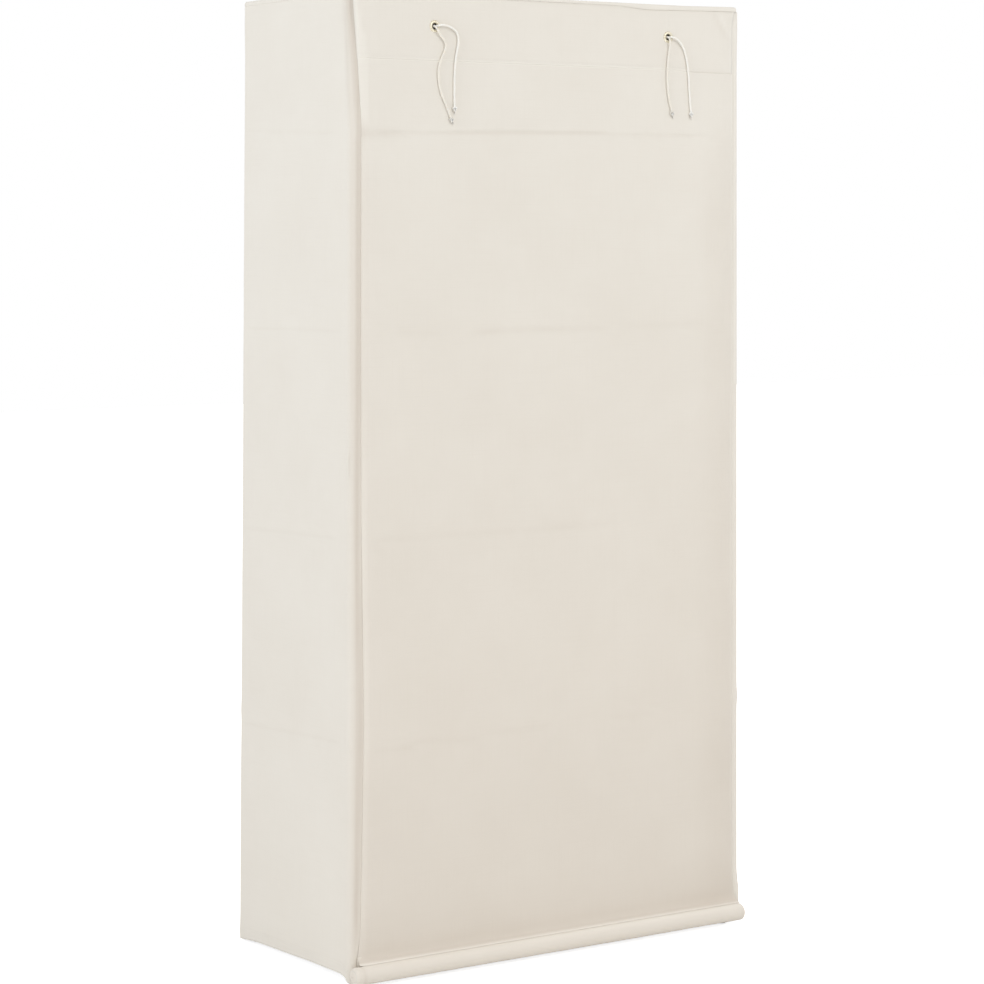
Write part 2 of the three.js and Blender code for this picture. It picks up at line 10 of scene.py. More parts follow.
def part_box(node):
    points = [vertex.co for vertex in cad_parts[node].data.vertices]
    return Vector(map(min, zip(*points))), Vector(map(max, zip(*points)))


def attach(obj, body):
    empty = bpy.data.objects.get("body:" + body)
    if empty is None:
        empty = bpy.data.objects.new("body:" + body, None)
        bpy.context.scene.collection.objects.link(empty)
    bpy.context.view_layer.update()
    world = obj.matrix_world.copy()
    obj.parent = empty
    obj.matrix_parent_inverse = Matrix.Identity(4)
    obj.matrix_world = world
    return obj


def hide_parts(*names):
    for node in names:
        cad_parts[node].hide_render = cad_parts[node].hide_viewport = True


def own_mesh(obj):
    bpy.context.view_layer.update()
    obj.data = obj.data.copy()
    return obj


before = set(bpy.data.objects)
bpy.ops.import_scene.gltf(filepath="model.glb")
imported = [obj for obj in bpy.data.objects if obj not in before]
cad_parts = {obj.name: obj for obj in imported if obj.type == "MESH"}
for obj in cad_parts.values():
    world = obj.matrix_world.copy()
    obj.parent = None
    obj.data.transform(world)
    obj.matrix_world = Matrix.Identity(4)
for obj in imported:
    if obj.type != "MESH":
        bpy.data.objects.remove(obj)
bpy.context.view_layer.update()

MM = 0.001
TURN = 2 * math.pi
WHITE = (1.0, 1.0, 1.0, 1.0)

# Places read from the frame
LEFT_PANEL, TOP_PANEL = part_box("cover_left_panel"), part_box("cover_top_panel")
BAND, CURTAIN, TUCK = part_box("cover_front_band"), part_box("front_curtain"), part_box("curtain_hem_seam")
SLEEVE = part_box("hem_sleeve")
SIDE = TOP_PANEL[1].x
FRONT, BACK, HEIGHT = TOP_PANEL[0].y, TOP_PANEL[1].y, TOP_PANEL[1].z
FACING, COVER_BOTTOM = LEFT_PANEL[0].y, LEFT_PANEL[0].z
FACING_END = abs(LEFT_PANEL[1].x)
BAND_BOTTOM, PANEL_TOP = BAND[0].z, BAND[1].z


def centre(node):
    low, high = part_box(node)
    return (low + high) / 2


def radius(node, axis):
    low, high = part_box(node)
    return (high - low)[axis] / 2


POST_X = centre("upper_post_front_right").x
POST_FRONT, POST_BACK = centre("upper_post_front_right").y, centre("upper_post_back_right").y
BASE, SHELF, TOP = (centre(f"{level}_rail_front").z for level in ("base", "shelf", "top"))
TUBE = radius("top_rail_front", 1)
HEM_Y, HEM_Z = centre("hem_sleeve").y, centre("hem_sleeve").z
HEM_RADIUS, HEM_HALF = radius("hem_sleeve", 1), SLEEVE[1].x

# Camera


CAMERA_PLACE = (-2.75, -4.1918, 1.3022)
CAMERA_AZIMUTH, CAMERA_ELEVATION = -33.148, 4.4275  # degrees
SENSOR, LENS, LENS_SHIFT = 36, 100.507, -0.0508


def add_camera():
    """The photograph's view: a long lens from the front left, a little above the middle."""
    data = bpy.data.cameras.new("camera")
    data.sensor_width, data.lens, data.shift_y = SENSOR, LENS, LENS_SHIFT
    camera = bpy.data.objects.new("camera", data)
    bpy.context.scene.collection.objects.link(camera)
    azimuth, elevation = math.radians(CAMERA_AZIMUTH), math.radians(CAMERA_ELEVATION)
    level = math.cos(elevation)
    back = Vector((math.sin(azimuth) * level, -math.cos(azimuth) * level, math.sin(elevation)))
    camera.location = CAMERA_PLACE
    camera.rotation_euler = (-back).to_track_quat("-Z", "Y").to_euler()
    bpy.context.scene.camera = camera


add_camera()

# Materials


class Nodes:
    """A material's node tree around its Principled shader."""

    def __init__(self, name, roughness=0.5, **sockets):
        self.material = bpy.data.materials.new(name)
        self.material.use_nodes = True
        self.tree = self.material.node_tree
        self.shader = self.tree.nodes["Principled BSDF"]
        self.shader.inputs["Roughness"].default_value = roughness
        for socket, value in sockets.items():
            self.shader.inputs[socket.replace("_", " ")].default_value = value

    def add(self, kind, inputs=(), **settings):
        node = self.tree.nodes.new("ShaderNode" + kind)
        for key, value in settings.items():
            setattr(node, key, value)
        for socket, value in dict(inputs).items():
            if isinstance(value, bpy.types.NodeSocket):
                self.tree.links.new(value, node.inputs[socket])
            else:
                node.inputs[socket].default_value = value
        return node

    def math(self, operation, a, b=0.0, clamp=False):
        return self.add("Math", {0: a, 1: b}, operation=operation, use_clamp=clamp).outputs[0]

    def mix(self, factor, a, b, clamp=True):
        return self.add("Mix", {0: factor, 6: a, 7: b}, data_type="RGBA", clamp_factor=clamp).outputs[2]

    def times(self, a, b):
        return self.add("Mix", {0: 1.0, 6: a, 7: b}, data_type="RGBA", blend_type="MULTIPLY").outputs[2]

    def noise(self, vector, scale, detail=2.0, roughness=0.5, distortion=0.0):
        inputs = {"Vector": vector, "Scale": scale, "Detail": detail, "Roughness": roughness}
        inputs["Distortion"] = distortion
        return self.add("TexNoise", inputs).outputs["Fac"]

    def stretched(self, vector, scale):
        return self.add("Mapping", {"Vector": vector, "Scale": scale}).outputs[0]

    def span(self, value, low, high, to_low=0.0, to_high=1.0):
        inputs = {"Value": value, "From Min": low, "From Max": high, "To Min": to_low, "To Max": to_high}
        return self.add("MapRange", inputs).outputs[0]

    def object_place(self):
        return self.add("TexCoord").outputs["Object"]

    def colour(self, socket):
        self.tree.links.new(socket, self.shader.inputs["Base Color"])

    def tint(self, field, low, high, light, shade):
        """Colours the surface between light and shade, as field goes from low to high."""
        self.colour(self.mix(self.span(field, low, high), light, shade))

    def rough(self, socket):
        self.tree.links.new(socket, self.shader.inputs["Roughness"])

    def bump(self, height, strength, distance):
        inputs = {"Height": height, "Strength": strength, "Distance": distance}
        self.tree.links.new(self.add("Bump", inputs).outputs[0], self.shader.inputs["Normal"])


def linear(red, green, blue):
    """A screen colour of 0 to 255 as the linear colour that a shader takes."""
    channels = [c / 255 for c in (red, green, blue)]
    lit = [c / 12.92 if c <= 0.04045 else ((c + 0.055) / 1.055) ** 2.4 for c in channels]
    return (*lit, 1.0)


def cloth_material(name, light, shade, thread=0.9 * MM):
    """Plain-woven cotton cloth: threads both ways, slubs, a cloudy tone, and shade painted in creases and
    recesses.
    """
    n = Nodes(name, 0.92, Sheen_Weight=0.12, Sheen_Roughness=0.45, Specular_IOR_Level=0.22)
    grain = n.add("UVMap", uv_map="grain").outputs[0]
    bands = 0.1 * math.pi / thread
    threads = [
        n.add(
            "TexWave",
            {"Vector": grain, "Scale": bands, "Distortion": 1.2, "Detail": 1.0, "Detail Scale": 0.6},
            bands_direction=direction,
        ).outputs["Fac"]
        for direction in ("X", "Y")
    ]
    weave = n.math("MULTIPLY", threads[0], threads[1])
    slub_across = n.noise(n.stretched(grain, (9.0, 700.0, 1.0)), 1.0, 3.0, 0.6)
    slub_along = n.noise(n.stretched(grain, (700.0, 9.0, 1.0)), 1.0, 3.0, 0.6)
    slubs = n.math("MAXIMUM", slub_across, slub_along)
    cloud = n.noise(grain, 5.0, 4.0, 0.62)
    tone = n.math("ADD", n.span(cloud, 0.3, 0.7, 0.0, 0.55), n.span(slubs, 0.5, 0.8, 0.0, 0.45))
    painted_light_and_shade = n.add("Attribute", attribute_name="mark").outputs["Fac"]
    base = n.mix(n.math("MULTIPLY", tone, 1.0, clamp=True), light, shade)
    # Painted shade makes the cover darker and warmer towards the floor, the front most.
    # The mark paints shade, and light where it is below 0
    place = n.add("SeparateXYZ", {0: n.object_place()}).outputs
    low = n.math("MULTIPLY", n.span(place[2], 1.5, 0.5), n.span(place[1], -0.170, -0.179, 0.35, 1.0))
    painted_floor_shade = n.mix(low, WHITE, (0.968, 0.945, 0.928, 1.0))
    pressed = n.mix(painted_light_and_shade, WHITE, (0.90, 0.88, 0.865, 1.0), clamp=False)
    n.colour(n.times(n.times(base, painted_floor_shade), pressed))
    n.rough(n.span(slubs, 0.3, 0.8, 0.96, 0.84))
    height = n.math("ADD", n.math("MULTIPLY", weave, 0.5), n.math("MULTIPLY", slubs, 0.8))
    n.bump(height, 0.22, 0.25 * MM)
    return n.material


def powder_coat():
    n = Nodes("powder_coated_steel", 0.42, Metallic=0.0, Coat_Weight=0.25, Coat_Roughness=0.3)
    place = n.object_place()
    speckle = n.noise(place, 900.0, 2.0)
    cloud = n.noise(place, 12.0, 3.0)
    n.tint(cloud, 0.35, 0.65, linear(196, 198, 200), linear(184, 186, 189))
    n.rough(n.span(cloud, 0.3, 0.7, 0.36, 0.5))
    n.bump(speckle, 0.18, 0.1 * MM)
    return n.material


def brushed_steel():
    n = Nodes("brushed_steel", 0.34, Metallic=1.0)
    place = n.object_place()
    lines = n.noise(n.stretched(place, (4.0, 1500.0, 1500.0)), 1.0, 2.0)
    n.tint(lines, 0.3, 0.7, linear(176, 178, 181), linear(146, 148, 152))
    n.rough(n.span(lines, 0.3, 0.7, 0.26, 0.44))
    n.bump(lines, 0.1, 0.05 * MM)
    return n.material


def moulded_plastic(name, light, shade, roughness):
    n = Nodes(name, roughness, Specular_IOR_Level=0.4)
    place = n.object_place()
    grain = n.noise(place, 1400.0, 2.0)
    cloud = n.noise(place, 60.0, 3.0)
    n.tint(cloud, 0.35, 0.7, light, shade)
    n.rough(n.span(cloud, 0.3, 0.7, roughness - 0.06, roughness + 0.08))
    n.bump(grain, 0.12, 0.08 * MM)
    return n.material


def aged_brass():
    n = Nodes("aged_brass", 0.35, Metallic=1.0)
    place = n.object_place()
    tarnish = n.noise(place, 420.0, 4.0, 0.65)
    n.tint(tarnish, 0.38, 0.62, linear(222, 216, 200), linear(188, 179, 154))
    n.rough(n.span(tarnish, 0.35, 0.65, 0.34, 0.62))
    n.bump(tarnish, 0.15, 0.08 * MM)
    return n.material


def cotton_cord(name, light, shade):
    n = Nodes(
        name, 0.95, Sheen_Weight=0.2, Sheen_Roughness=0.5, Specular_IOR_Level=0.2,
        Subsurface_Weight=0.85, Subsurface_Radius=(1.0, 0.95, 0.9), Subsurface_Scale=4 * MM,
    )
    place = n.object_place()
    fibres = n.noise(place, 2600.0, 3.0)
    n.tint(fibres, 0.3, 0.7, light, shade)
    n.bump(fibres, 0.3, 0.15 * MM)
    return n.material


COVER_CLOTH = cloth_material("cover_cloth", linear(237, 232, 223), linear(232, 226, 216))
SHELF_CLOTH = cloth_material("shelf_cloth", linear(233, 227, 217), linear(220, 212, 200), 1.2 * MM)
FRAME_STEEL, ROD_STEEL = powder_coat(), brushed_steel()
DARK_PLASTIC = moulded_plastic("dark_plastic", linear(52, 51, 50), linear(38, 37, 37), 0.5)
FOOT_PLASTIC = moulded_plastic("foot_plastic", linear(46, 42, 39), linear(32, 30, 28), 0.62)
PALE_PLASTIC = moulded_plastic("pale_plastic", linear(228, 224, 215), linear(214, 209, 198), 0.45)
BRASS = aged_brass()
COTTON = cotton_cord("cotton_cord", linear(248, 244, 237), linear(243, 238, 230))
# A darker copy of the cord, which paints shade on the inner tails
SHADED_COTTON = cotton_cord("shaded_cotton_cord", linear(238, 233, 224), linear(230, 224, 214))

# Meshes


def link_mesh(name, mesh):
    piece = bpy.data.objects.new(name, mesh)
    bpy.context.scene.collection.objects.link(piece)
    return piece


def add_piece(name, points, faces, material, uv=None, mark=None, smooth=True):
    """A mesh object. uv and mark hold one value for each point."""
    mesh = bpy.data.meshes.new(name)
    mesh.from_pydata([tuple(p) for p in np.asarray(points, float)], [], [tuple(f) for f in faces])
    corners = np.empty(len(mesh.loops), np.int32)
    mesh.loops.foreach_get("vertex_index", corners)
    if uv is not None:
        layer = mesh.uv_layers.new(name="grain")
        layer.data.foreach_set("uv", np.asarray(uv, np.float32)[corners].ravel())
    if mark is not None:
        layer = mesh.attributes.new("mark", "FLOAT", "POINT")
        layer.data.foreach_set("value", np.asarray(mark, np.float32).ravel())
    mesh.materials.append(material)
    mesh.polygons.foreach_set("use_smooth", [smooth] * len(mesh.polygons))
    mesh.update()
    return link_mesh(name, mesh)


def settle(piece, body, slot, *nodes):
    """The piece rides on a body and stands for CAD nodes. slot is not used."""
    if nodes:
        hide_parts(*nodes)
    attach(piece, body)
    return piece


def smooth_step(low, high, x):
    t = np.clip((x - low) / (high - low), 0, 1)
    return t * t * (3 - 2 * t)


def bump(x, middle, width):
    return np.exp(-(((x - middle) / width) ** 2))


def waves(u, v, seed, shortest, longest, count=24, upright=1.0):
    """A smooth random field of about -1 to 1. upright over 1 draws it out along v."""
    rng = np.random.default_rng(seed)
    total = np.zeros_like(u)
    power = 0.0
    for _ in range(count):
        length = shortest * (longest / shortest) ** rng.random()
        angle, phase = rng.random() * math.pi, rng.random() * TURN
        size = length / longest
        run = u * math.cos(angle) + v * math.sin(angle) / upright
        total += size * np.sin(TURN * run / length + phase)
        power += size * size / 2
    return total / (2 * math.sqrt(power))


def normals_of(grid, loop=False):
    along = np.gradient(grid, axis=1)
    if loop:
        along = np.roll(grid, -1, axis=1) - np.roll(grid, 1, axis=1)
    normal = np.cross(along, np.gradient(grid, axis=0))
    return normal / np.maximum(np.linalg.norm(normal, axis=2, keepdims=True), 1e-12)


def cloth_sheet(name, grid, thickness, uv, mark=None, material=COVER_CLOTH, loop=False, keep=None):
    """A closed thin solid of cloth. grid holds its outer face as rows by columns of points, uv the
    cloth's own metres there, and keep the cells that are cloth. A loop's last column meets its first."""
    rows, columns = grid.shape[:2]
    inner = grid - normals_of(grid, loop) * np.asarray(thickness)[..., None]
    count = rows * columns
    cells = columns if loop else columns - 1
    keep = np.ones((rows - 1, cells), bool) if keep is None else keep
    r, c = np.nonzero(keep)
    a, b = r * columns + c, r * columns + (c + 1) % columns
    quads = np.stack([a, b, b + columns, a + columns], 1)
    faces = [quads, quads[:, ::-1] + count]
    for side, (dr, dc) in enumerate(((-1, 0), (0, 1), (1, 0), (0, -1))):
        rr, cc = r + dr, (c + dc) % cells if loop else c + dc
        inside = (rr >= 0) & (rr < rows - 1) & (cc >= 0) & (cc < cells)
        lone = ~inside
        lone[inside] = ~keep[rr[inside], cc[inside]]
        start, end = quads[lone, side], quads[lone, (side + 1) % 4]
        faces.append(np.stack([end, start, start + count, end + count], 1))
    faces = np.concatenate(faces)
    points = np.concatenate([grid.reshape(-1, 3), inner.reshape(-1, 3)])
    uv = np.tile(np.asarray(uv).reshape(-1, 2), (2, 1))
    mark = np.zeros(grid.shape[:2]) if mark is None else mark
    mark = np.tile(mark.reshape(-1), 2)
    used = np.unique(faces)
    index = np.full(len(points), -1)
    index[used] = np.arange(len(used))
    return add_piece(name, points[used], index[faces].tolist(), material, uv[used], mark[used])


def run_along(points):
    """How far along a line of points each of them lies."""
    return np.concatenate([[0], np.cumsum(np.linalg.norm(np.diff(points, axis=0), axis=1))])


def points_at(spots, along, points):
    """The places on a line of points at the given distances along it."""
    return np.stack([np.interp(spots, along, points[:, k]) for k in range(3)], 1)


def across_rows(values, x):
    """One value for each row of a grid, repeated over its columns."""
    return np.broadcast_to(np.asarray(values)[:, None], x.shape)


def band_faces(rings, sides):
    """The quads between rings of points that lie one after another."""
    faces = []
    for r in range(rings - 1):
        for c in range(sides):
            d = (c + 1) % sides
            faces.append((r * sides + c, r * sides + d, (r + 1) * sides + d, (r + 1) * sides + c))
    return faces


def end_faces(count, sides):
    return [tuple(range(sides))[::-1], tuple(range(count - sides, count))]


def rounded_path(corners, step, fine=1.5 * MM):
    """Points along a line through corners (x, y, radius), and how far along it each lies."""
    places = [np.array(c[:2], float) for c in corners]
    points = [places[0]]
    for before, (x, y, r), after in zip(places, corners[1:-1], places[2:]):
        corner = np.array((x, y))
        back, ahead = before - corner, after - corner
        back, ahead = back / np.linalg.norm(back), ahead / np.linalg.norm(ahead)
        half = math.acos(np.clip(back @ ahead, -1, 1)) / 2
        reach = r / math.tan(half)
        start, end = corner + back * reach, corner + ahead * reach
        middle = corner + (back + ahead) / np.linalg.norm(back + ahead) * r / math.sin(half)
        add_straight(points, start, step)
        sweep = math.pi - 2 * half
        turn = math.copysign(1, ahead[1] * back[0] - ahead[0] * back[1])
        arm = start - middle
        steps = max(3, math.ceil(sweep * r / fine))
        for k in range(1, steps + 1):
            angle = -turn * sweep * k / steps
            cos, sin = math.cos(angle), math.sin(angle)
            points.append(middle + np.array((arm[0] * cos - arm[1] * sin, arm[0] * sin + arm[1] * cos)))
        points[-1] = end
    add_straight(points, places[-1], step)
    points = np.array(points)
    return points, run_along(points)


def add_straight(points, end, step):
    start = points[-1]
    count = max(1, round(float(np.linalg.norm(end - start)) / step))
    points.extend(start + (end - start) * k / count for k in range(1, count + 1))


def tube_mesh(name, path, radii, sides, material, ripple):
    """A closed tube along a path. ripple(turns, along) scales the radius, for a braid."""
    path = np.asarray(path, float)
    tangent = np.gradient(path, axis=0)
    tangent /= np.linalg.norm(tangent, axis=1, keepdims=True)
    side = np.cross(tangent[0], (0.0, 0.0, 1.0))
    if np.linalg.norm(side) < 0.1:
        side = np.cross(tangent[0], (1.0, 0.0, 0.0))
    sideways = []
    for t in tangent:
        side = side - t * (side @ t)
        side /= np.linalg.norm(side)
        sideways.append(side)
    sideways = np.array(sideways)
    upward = np.cross(tangent, sideways)
    along = run_along(path)
    turns = np.arange(sides) / sides * TURN
    radii = np.broadcast_to(np.asarray(radii, float), (len(path),))[:, None]
    scale = radii * ripple(turns[None, :], along[:, None])
    ring = np.cos(turns)[None, :, None] * sideways[:, None] + np.sin(turns)[None, :, None] * upward[:, None]
    points = (path[:, None] + ring * scale[..., None]).reshape(-1, 3)
    return add_piece(name, points, band_faces(len(path), sides) + end_faces(len(points), sides), material)


def lathe(name, profile, sides, material, at, direction):
    """A turned solid: profile is a closed list of (radius, along) round an axis through at."""
    axis = Vector(direction).normalized()
    spin = axis.to_track_quat("Z", "Y").to_matrix().to_4x4()
    place = Matrix.Translation(at) @ spin
    points, faces = [], []
    count = len(profile)
    for k in range(sides):
        angle = TURN * k / sides
        points += [place @ Vector((r * math.cos(angle), r * math.sin(angle), z)) for r, z in profile]
    for k in range(sides):
        for i in range(count):
            j, m = (i + 1) % count, (k + 1) % sides
            if profile[i][0] < 1e-9 and profile[j][0] < 1e-9:
                continue
            faces.append((k * count + i, m * count + i, m * count + j, k * count + j))
    piece = add_piece(name, points, faces, material)
    bm = bmesh.new()
    bm.from_mesh(piece.data)
    bmesh.ops.remove_doubles(bm, verts=bm.verts, dist=1e-6)
    bmesh.ops.dissolve_degenerate(bm, edges=bm.edges, dist=1e-7)
    bmesh.ops.recalc_face_normals(bm, faces=bm.faces)
    bm.to_mesh(piece.data)
    bm.free()
    return piece


def rounded_profile(corners, steps=4):
    """A closed profile of (radius, along, rounding) with each corner rounded."""
    out = []
    for i, (x, y, r) in enumerate(corners):
        corner = np.array((x, y), float)
        if r <= 0:
            out.append((x, y))
            continue
        before, after = (np.array(corners[(i + k) % len(corners)][:2], float) for k in (-1, 1))
        back, ahead = before - corner, after - corner
        reach = min(r, np.linalg.norm(back) / 2, np.linalg.norm(ahead) / 2)
        start = corner + back / np.linalg.norm(back) * reach
        end = corner + ahead / np.linalg.norm(ahead) * reach
        for k in range(steps + 1):
            t = k / steps
            point = start * (1 - t) ** 2 + corner * 2 * t * (1 - t) + end * t * t
            out.append((float(point[0]), float(point[1])))
    return out


def stitches(name, path, out, pitch=4.2 * MM, length=2.9 * MM, thick=0.28 * MM, sides=6):
    """A row of thread stitches along a path on cloth whose face looks along out at each point."""
    path, out = np.asarray(path, float), np.asarray(out, float)
    along = run_along(path)
    middles = np.arange(pitch / 2, along[-1], pitch)
    spot = points_at(middles, along, path)
    face = points_at(middles, along, out)
    face /= np.linalg.norm(face, axis=1, keepdims=True)
    run = points_at(middles + 0.1 * MM, along, path) - points_at(middles - 0.1 * MM, along, path)
    run /= np.linalg.norm(run, axis=1, keepdims=True)
    cross = np.cross(face, run)
    rings = ((-0.5, 0.35, -0.7), (-0.36, 0.9, 0.1), (0.0, 1.0, 0.45), (0.36, 0.9, 0.1), (0.5, 0.35, -0.7))
    turns = np.arange(sides) / sides * TURN
    points = []
    for share, fat, lift in rings:
        ring = run * share * length + face * lift * thick
        for turn in turns:
            points.append(spot + ring + (cross * math.cos(turn) + face * math.sin(turn)) * fat * thick)
    points = np.stack(points, 1)
    each = points.shape[1]
    quads = np.array(band_faces(len(rings), sides))
    faces = (quads[None] + np.arange(len(spot))[:, None, None] * each).reshape(-1, 4).tolist()
    for cap in end_faces(each, sides):
        faces += (np.array(cap)[None] + np.arange(len(spot))[:, None] * each).tolist()
    return add_piece(name, points.reshape(-1, 3), faces, COTTON)


# Tie cords

CORD = 3.5 * MM
EYELETS = {side: centre(f"eyelet_{side}") for side in ("left", "right")}
# Each tail's route from the knot behind its eyelet to its free end, and its length
TAILS = {
    "tie_left_inner": (0.181, [
        (-0.25005, -0.1783, 1.6475), (-0.25, -0.1835, 1.6475), (-0.249, -0.187, 1.6461),
        (-0.246, -0.1879, 1.6415), (-0.239, -0.1866, 1.633), (-0.2305, -0.1854, 1.6235),
        (-0.2276, -0.1848, 1.6145), (-0.2298, -0.1844, 1.6055), (-0.234, -0.1842, 1.5965),
        (-0.2394, -0.1842, 1.5845), (-0.2418, -0.1842, 1.5725), (-0.2416, -0.1842, 1.5595),
        (-0.2398, -0.1842, 1.5465), (-0.2358, -0.1842, 1.5335), (-0.2299, -0.1842, 1.521),
        (-0.2228, -0.1842, 1.5055), (-0.2158, -0.1842, 1.4895),
    ]),
    "tie_left_outer": (0.184, [
        (-0.24595, -0.1783, 1.6475), (-0.2459, -0.1835, 1.6476), (-0.2448, -0.1872, 1.6481),
        (-0.2405, -0.189, 1.6491), (-0.231, -0.188, 1.6495), (-0.2205, -0.1866, 1.6475),
        (-0.2105, -0.1855, 1.643), (-0.2036, -0.1849, 1.635), (-0.2016, -0.1844, 1.6235),
        (-0.2036, -0.1842, 1.6105), (-0.2066, -0.1842, 1.5965), (-0.2086, -0.1842, 1.5785),
        (-0.2098, -0.1842, 1.5585), (-0.21, -0.1842, 1.5415), (-0.2098, -0.1842, 1.5245),
        (-0.2095, -0.1842, 1.5082),
    ]),
    "tie_right_inner": (0.146, [
        (0.24595, -0.1783, 1.6475), (0.246, -0.1835, 1.6475), (0.2468, -0.187, 1.6459),
        (0.2484, -0.1876, 1.6405), (0.2492, -0.1864, 1.6325), (0.2486, -0.1854, 1.6235),
        (0.2474, -0.1846, 1.6145), (0.2462, -0.1842, 1.6035), (0.2452, -0.1842, 1.5915),
        (0.2448, -0.1842, 1.5795), (0.2452, -0.1842, 1.5675), (0.2462, -0.1842, 1.5555),
        (0.2476, -0.1842, 1.5435), (0.2504, -0.1842, 1.5315), (0.2534, -0.1842, 1.5215),
        (0.2563, -0.1842, 1.5115),
    ]),
    "tie_right_outer": (0.166, [
        (0.25005, -0.1783, 1.6475), (0.2501, -0.1835, 1.6475), (0.2514, -0.1872, 1.6473),
        (0.2555, -0.1886, 1.6469), (0.263, -0.1876, 1.6445), (0.271, -0.1864, 1.6395),
        (0.2785, -0.1854, 1.6315), (0.284, -0.1848, 1.6215), (0.288, -0.1844, 1.6095),
        (0.2908, -0.1842, 1.5965), (0.2926, -0.1842, 1.5825), (0.2938, -0.1842, 1.5685),
        (0.2948, -0.1842, 1.5545), (0.296, -0.1842, 1.5395), (0.2976, -0.1842, 1.5245),
        (0.2993, -0.1842, 1.5105),
    ]),
}


def smooth_route(points, step):
    """A Catmull-Rom curve through the points, at even steps."""
    p = np.array(points)
    p = np.concatenate([[2 * p[0] - p[1]], p, [2 * p[-1] - p[-2]]])
    out = []
    for a, b, c, d in zip(p, p[1:], p[2:], p[3:]):
        for t in np.linspace(0, 1, 12, endpoint=False):
            square, cube = 2 * a - 5 * b + 4 * c - d, 3 * b - a - 3 * c + d
            out.append(0.5 * (2 * b + (c - a) * t + square * t**2 + cube * t**3))
    out = np.array([*out, p[-2]])
    along = run_along(out)
    spots = np.linspace(0, along[-1], max(2, round(along[-1] / step)))
    return points_at(spots, along, out)


def braid(turns, along):
    """Eight strands, four each way, as a share of the cord's radius."""
    pitch = TURN * along / (7 * MM)
    over = np.maximum(np.sin(4 * turns + 4 * pitch), np.sin(4 * turns - 4 * pitch))
    return 1 + 0.045 * (over - 0.5)


def trefoil(name, at, size, strand, flat=1.0, yarn=COTTON):
    """An overhand knot, drawn tight, whose face looks along -Y."""
    t = np.linspace(0, TURN, 91)[:-1]
    loop = np.stack(
        [np.sin(t) + 2 * np.sin(2 * t), -np.sin(3 * t) * flat, np.cos(t) - 2 * np.cos(2 * t)], 1
    )
    path = np.array(at) + loop * size / 6
    path = np.concatenate([path, path[:2]])
    return tube_mesh(name, path, strand / 2, 12, yarn, braid)


def tuft(name, start, heading, yarn, count=16, reach=6 * MM, seed=1):
    """The frayed yarns past an end knot, joined in one mesh."""
    rng = np.random.default_rng(seed)
    heading = np.array(heading) / np.linalg.norm(heading)
    points, faces = [], []
    for _ in range(count):
        spread = rng.normal(0, 0.16, 3)
        spread[1] *= 0.35
        root = np.array(start) + rng.normal(0, 0.5 * MM, 3) * (1, 0.5, 1)
        aim = heading + spread
        length = reach * (0.7 + 0.5 * rng.random())
        base = len(points)
        for k, share in enumerate((0.0, 0.45, 0.8, 1.0)):
            middle = root + aim * length * share + np.array((0, 0, -0.4 * MM)) * share**2
            fat = 0.32 * MM * (1 - 0.55 * share)
            for s in range(5):
                angle = TURN * s / 5
                points.append(middle + np.array((math.cos(angle), math.sin(angle), 0)) * fat)
            if k:
                for s in range(5):
                    n = (s + 1) % 5
                    low = base + (k - 1) * 5
                    faces.append((low + s, low + 5 + s, low + 5 + n, low + n))
        faces.append(tuple(base + s for s in range(5)))
        faces.append(tuple(base + 15 + s for s in range(5))[::-1])
    return add_piece(name, points, faces, yarn)


def add_ties():
    for number, (name, (length, route)) in enumerate(TAILS.items()):
        path = smooth_route(route, 0.45 * MM)
        # The inner tails take the darker copy of the cord, which paints shade on them
        yarn = SHADED_COTTON if "inner" in name else COTTON
        cord = tube_mesh(name + "_cord", path, CORD / 2, 20, yarn, braid)
        settle(cord, "wardrobe", "tie_cotton", name)
        end = Vector(route[-1])
        heading = (end - Vector(route[-2])).normalized()
        knot = trefoil(name + "_end_knot", end + Vector((0, -1.2 * MM, 0)), 7.2 * MM, 2.7 * MM, 0.62, yarn)
        fray = tuft(name + "_fray", end + heading * 2 * MM, heading, yarn, seed=number + 3)
        for piece in (knot, fray):
            settle(piece, "wardrobe", "tie_cotton")
    for side in EYELETS:
        node = f"tie_{side}_knot"
        knot = trefoil(node + "_cotton", centre(node), 2 * radius(node, 0) - 2.4 * MM, 3.6 * MM)
        settle(knot, "wardrobe", "tie_cotton", node)


add_ties()

# Cover

CLOTH = 0.9 * MM
FOLDS = (0.419, 0.774, 1.130, 1.470)  # heights of the creases that packing left all round the cover
# The front cloth's free edges, as (height, x)
LEFT_EDGE = (
    (0.036, -0.4055), (0.086, -0.3995), (0.1015, -0.3987), (0.2405, -0.3946), (0.4655, -0.3901),
    (0.8095, -0.3935), (1.1831, -0.3925), (1.4687, -0.3906), (1.5853, -0.3983), (1.6829, -0.4065),
)
RIGHT_EDGE = (
    (0.036, 0.4215), (0.085, 0.4131), (0.2405, 0.4101), (0.6141, 0.4077), (1.1721, 0.4031),
    (1.4474, 0.4009), (1.5896, 0.3999), (1.684, 0.3993),
)
# Where the facing sewn inside the top of the front ends, as (x, height)
FACING_LINE = (
    (-0.373, 1.4666), (-0.276, 1.4693), (-0.075, 1.4732), (0.109, 1.4759), (0.124, 1.4735), (0.324, 1.4755),
)
# How far the cover leans out at the floor: to the left, to the right and to the back
LEAN_LEFT, LEAN_RIGHT, LEAN_BACK = 10.4 * MM, 15.2 * MM, 16.3 * MM
TOP_RIGHT = 7.0 * MM  # how far the right side stands out at its top
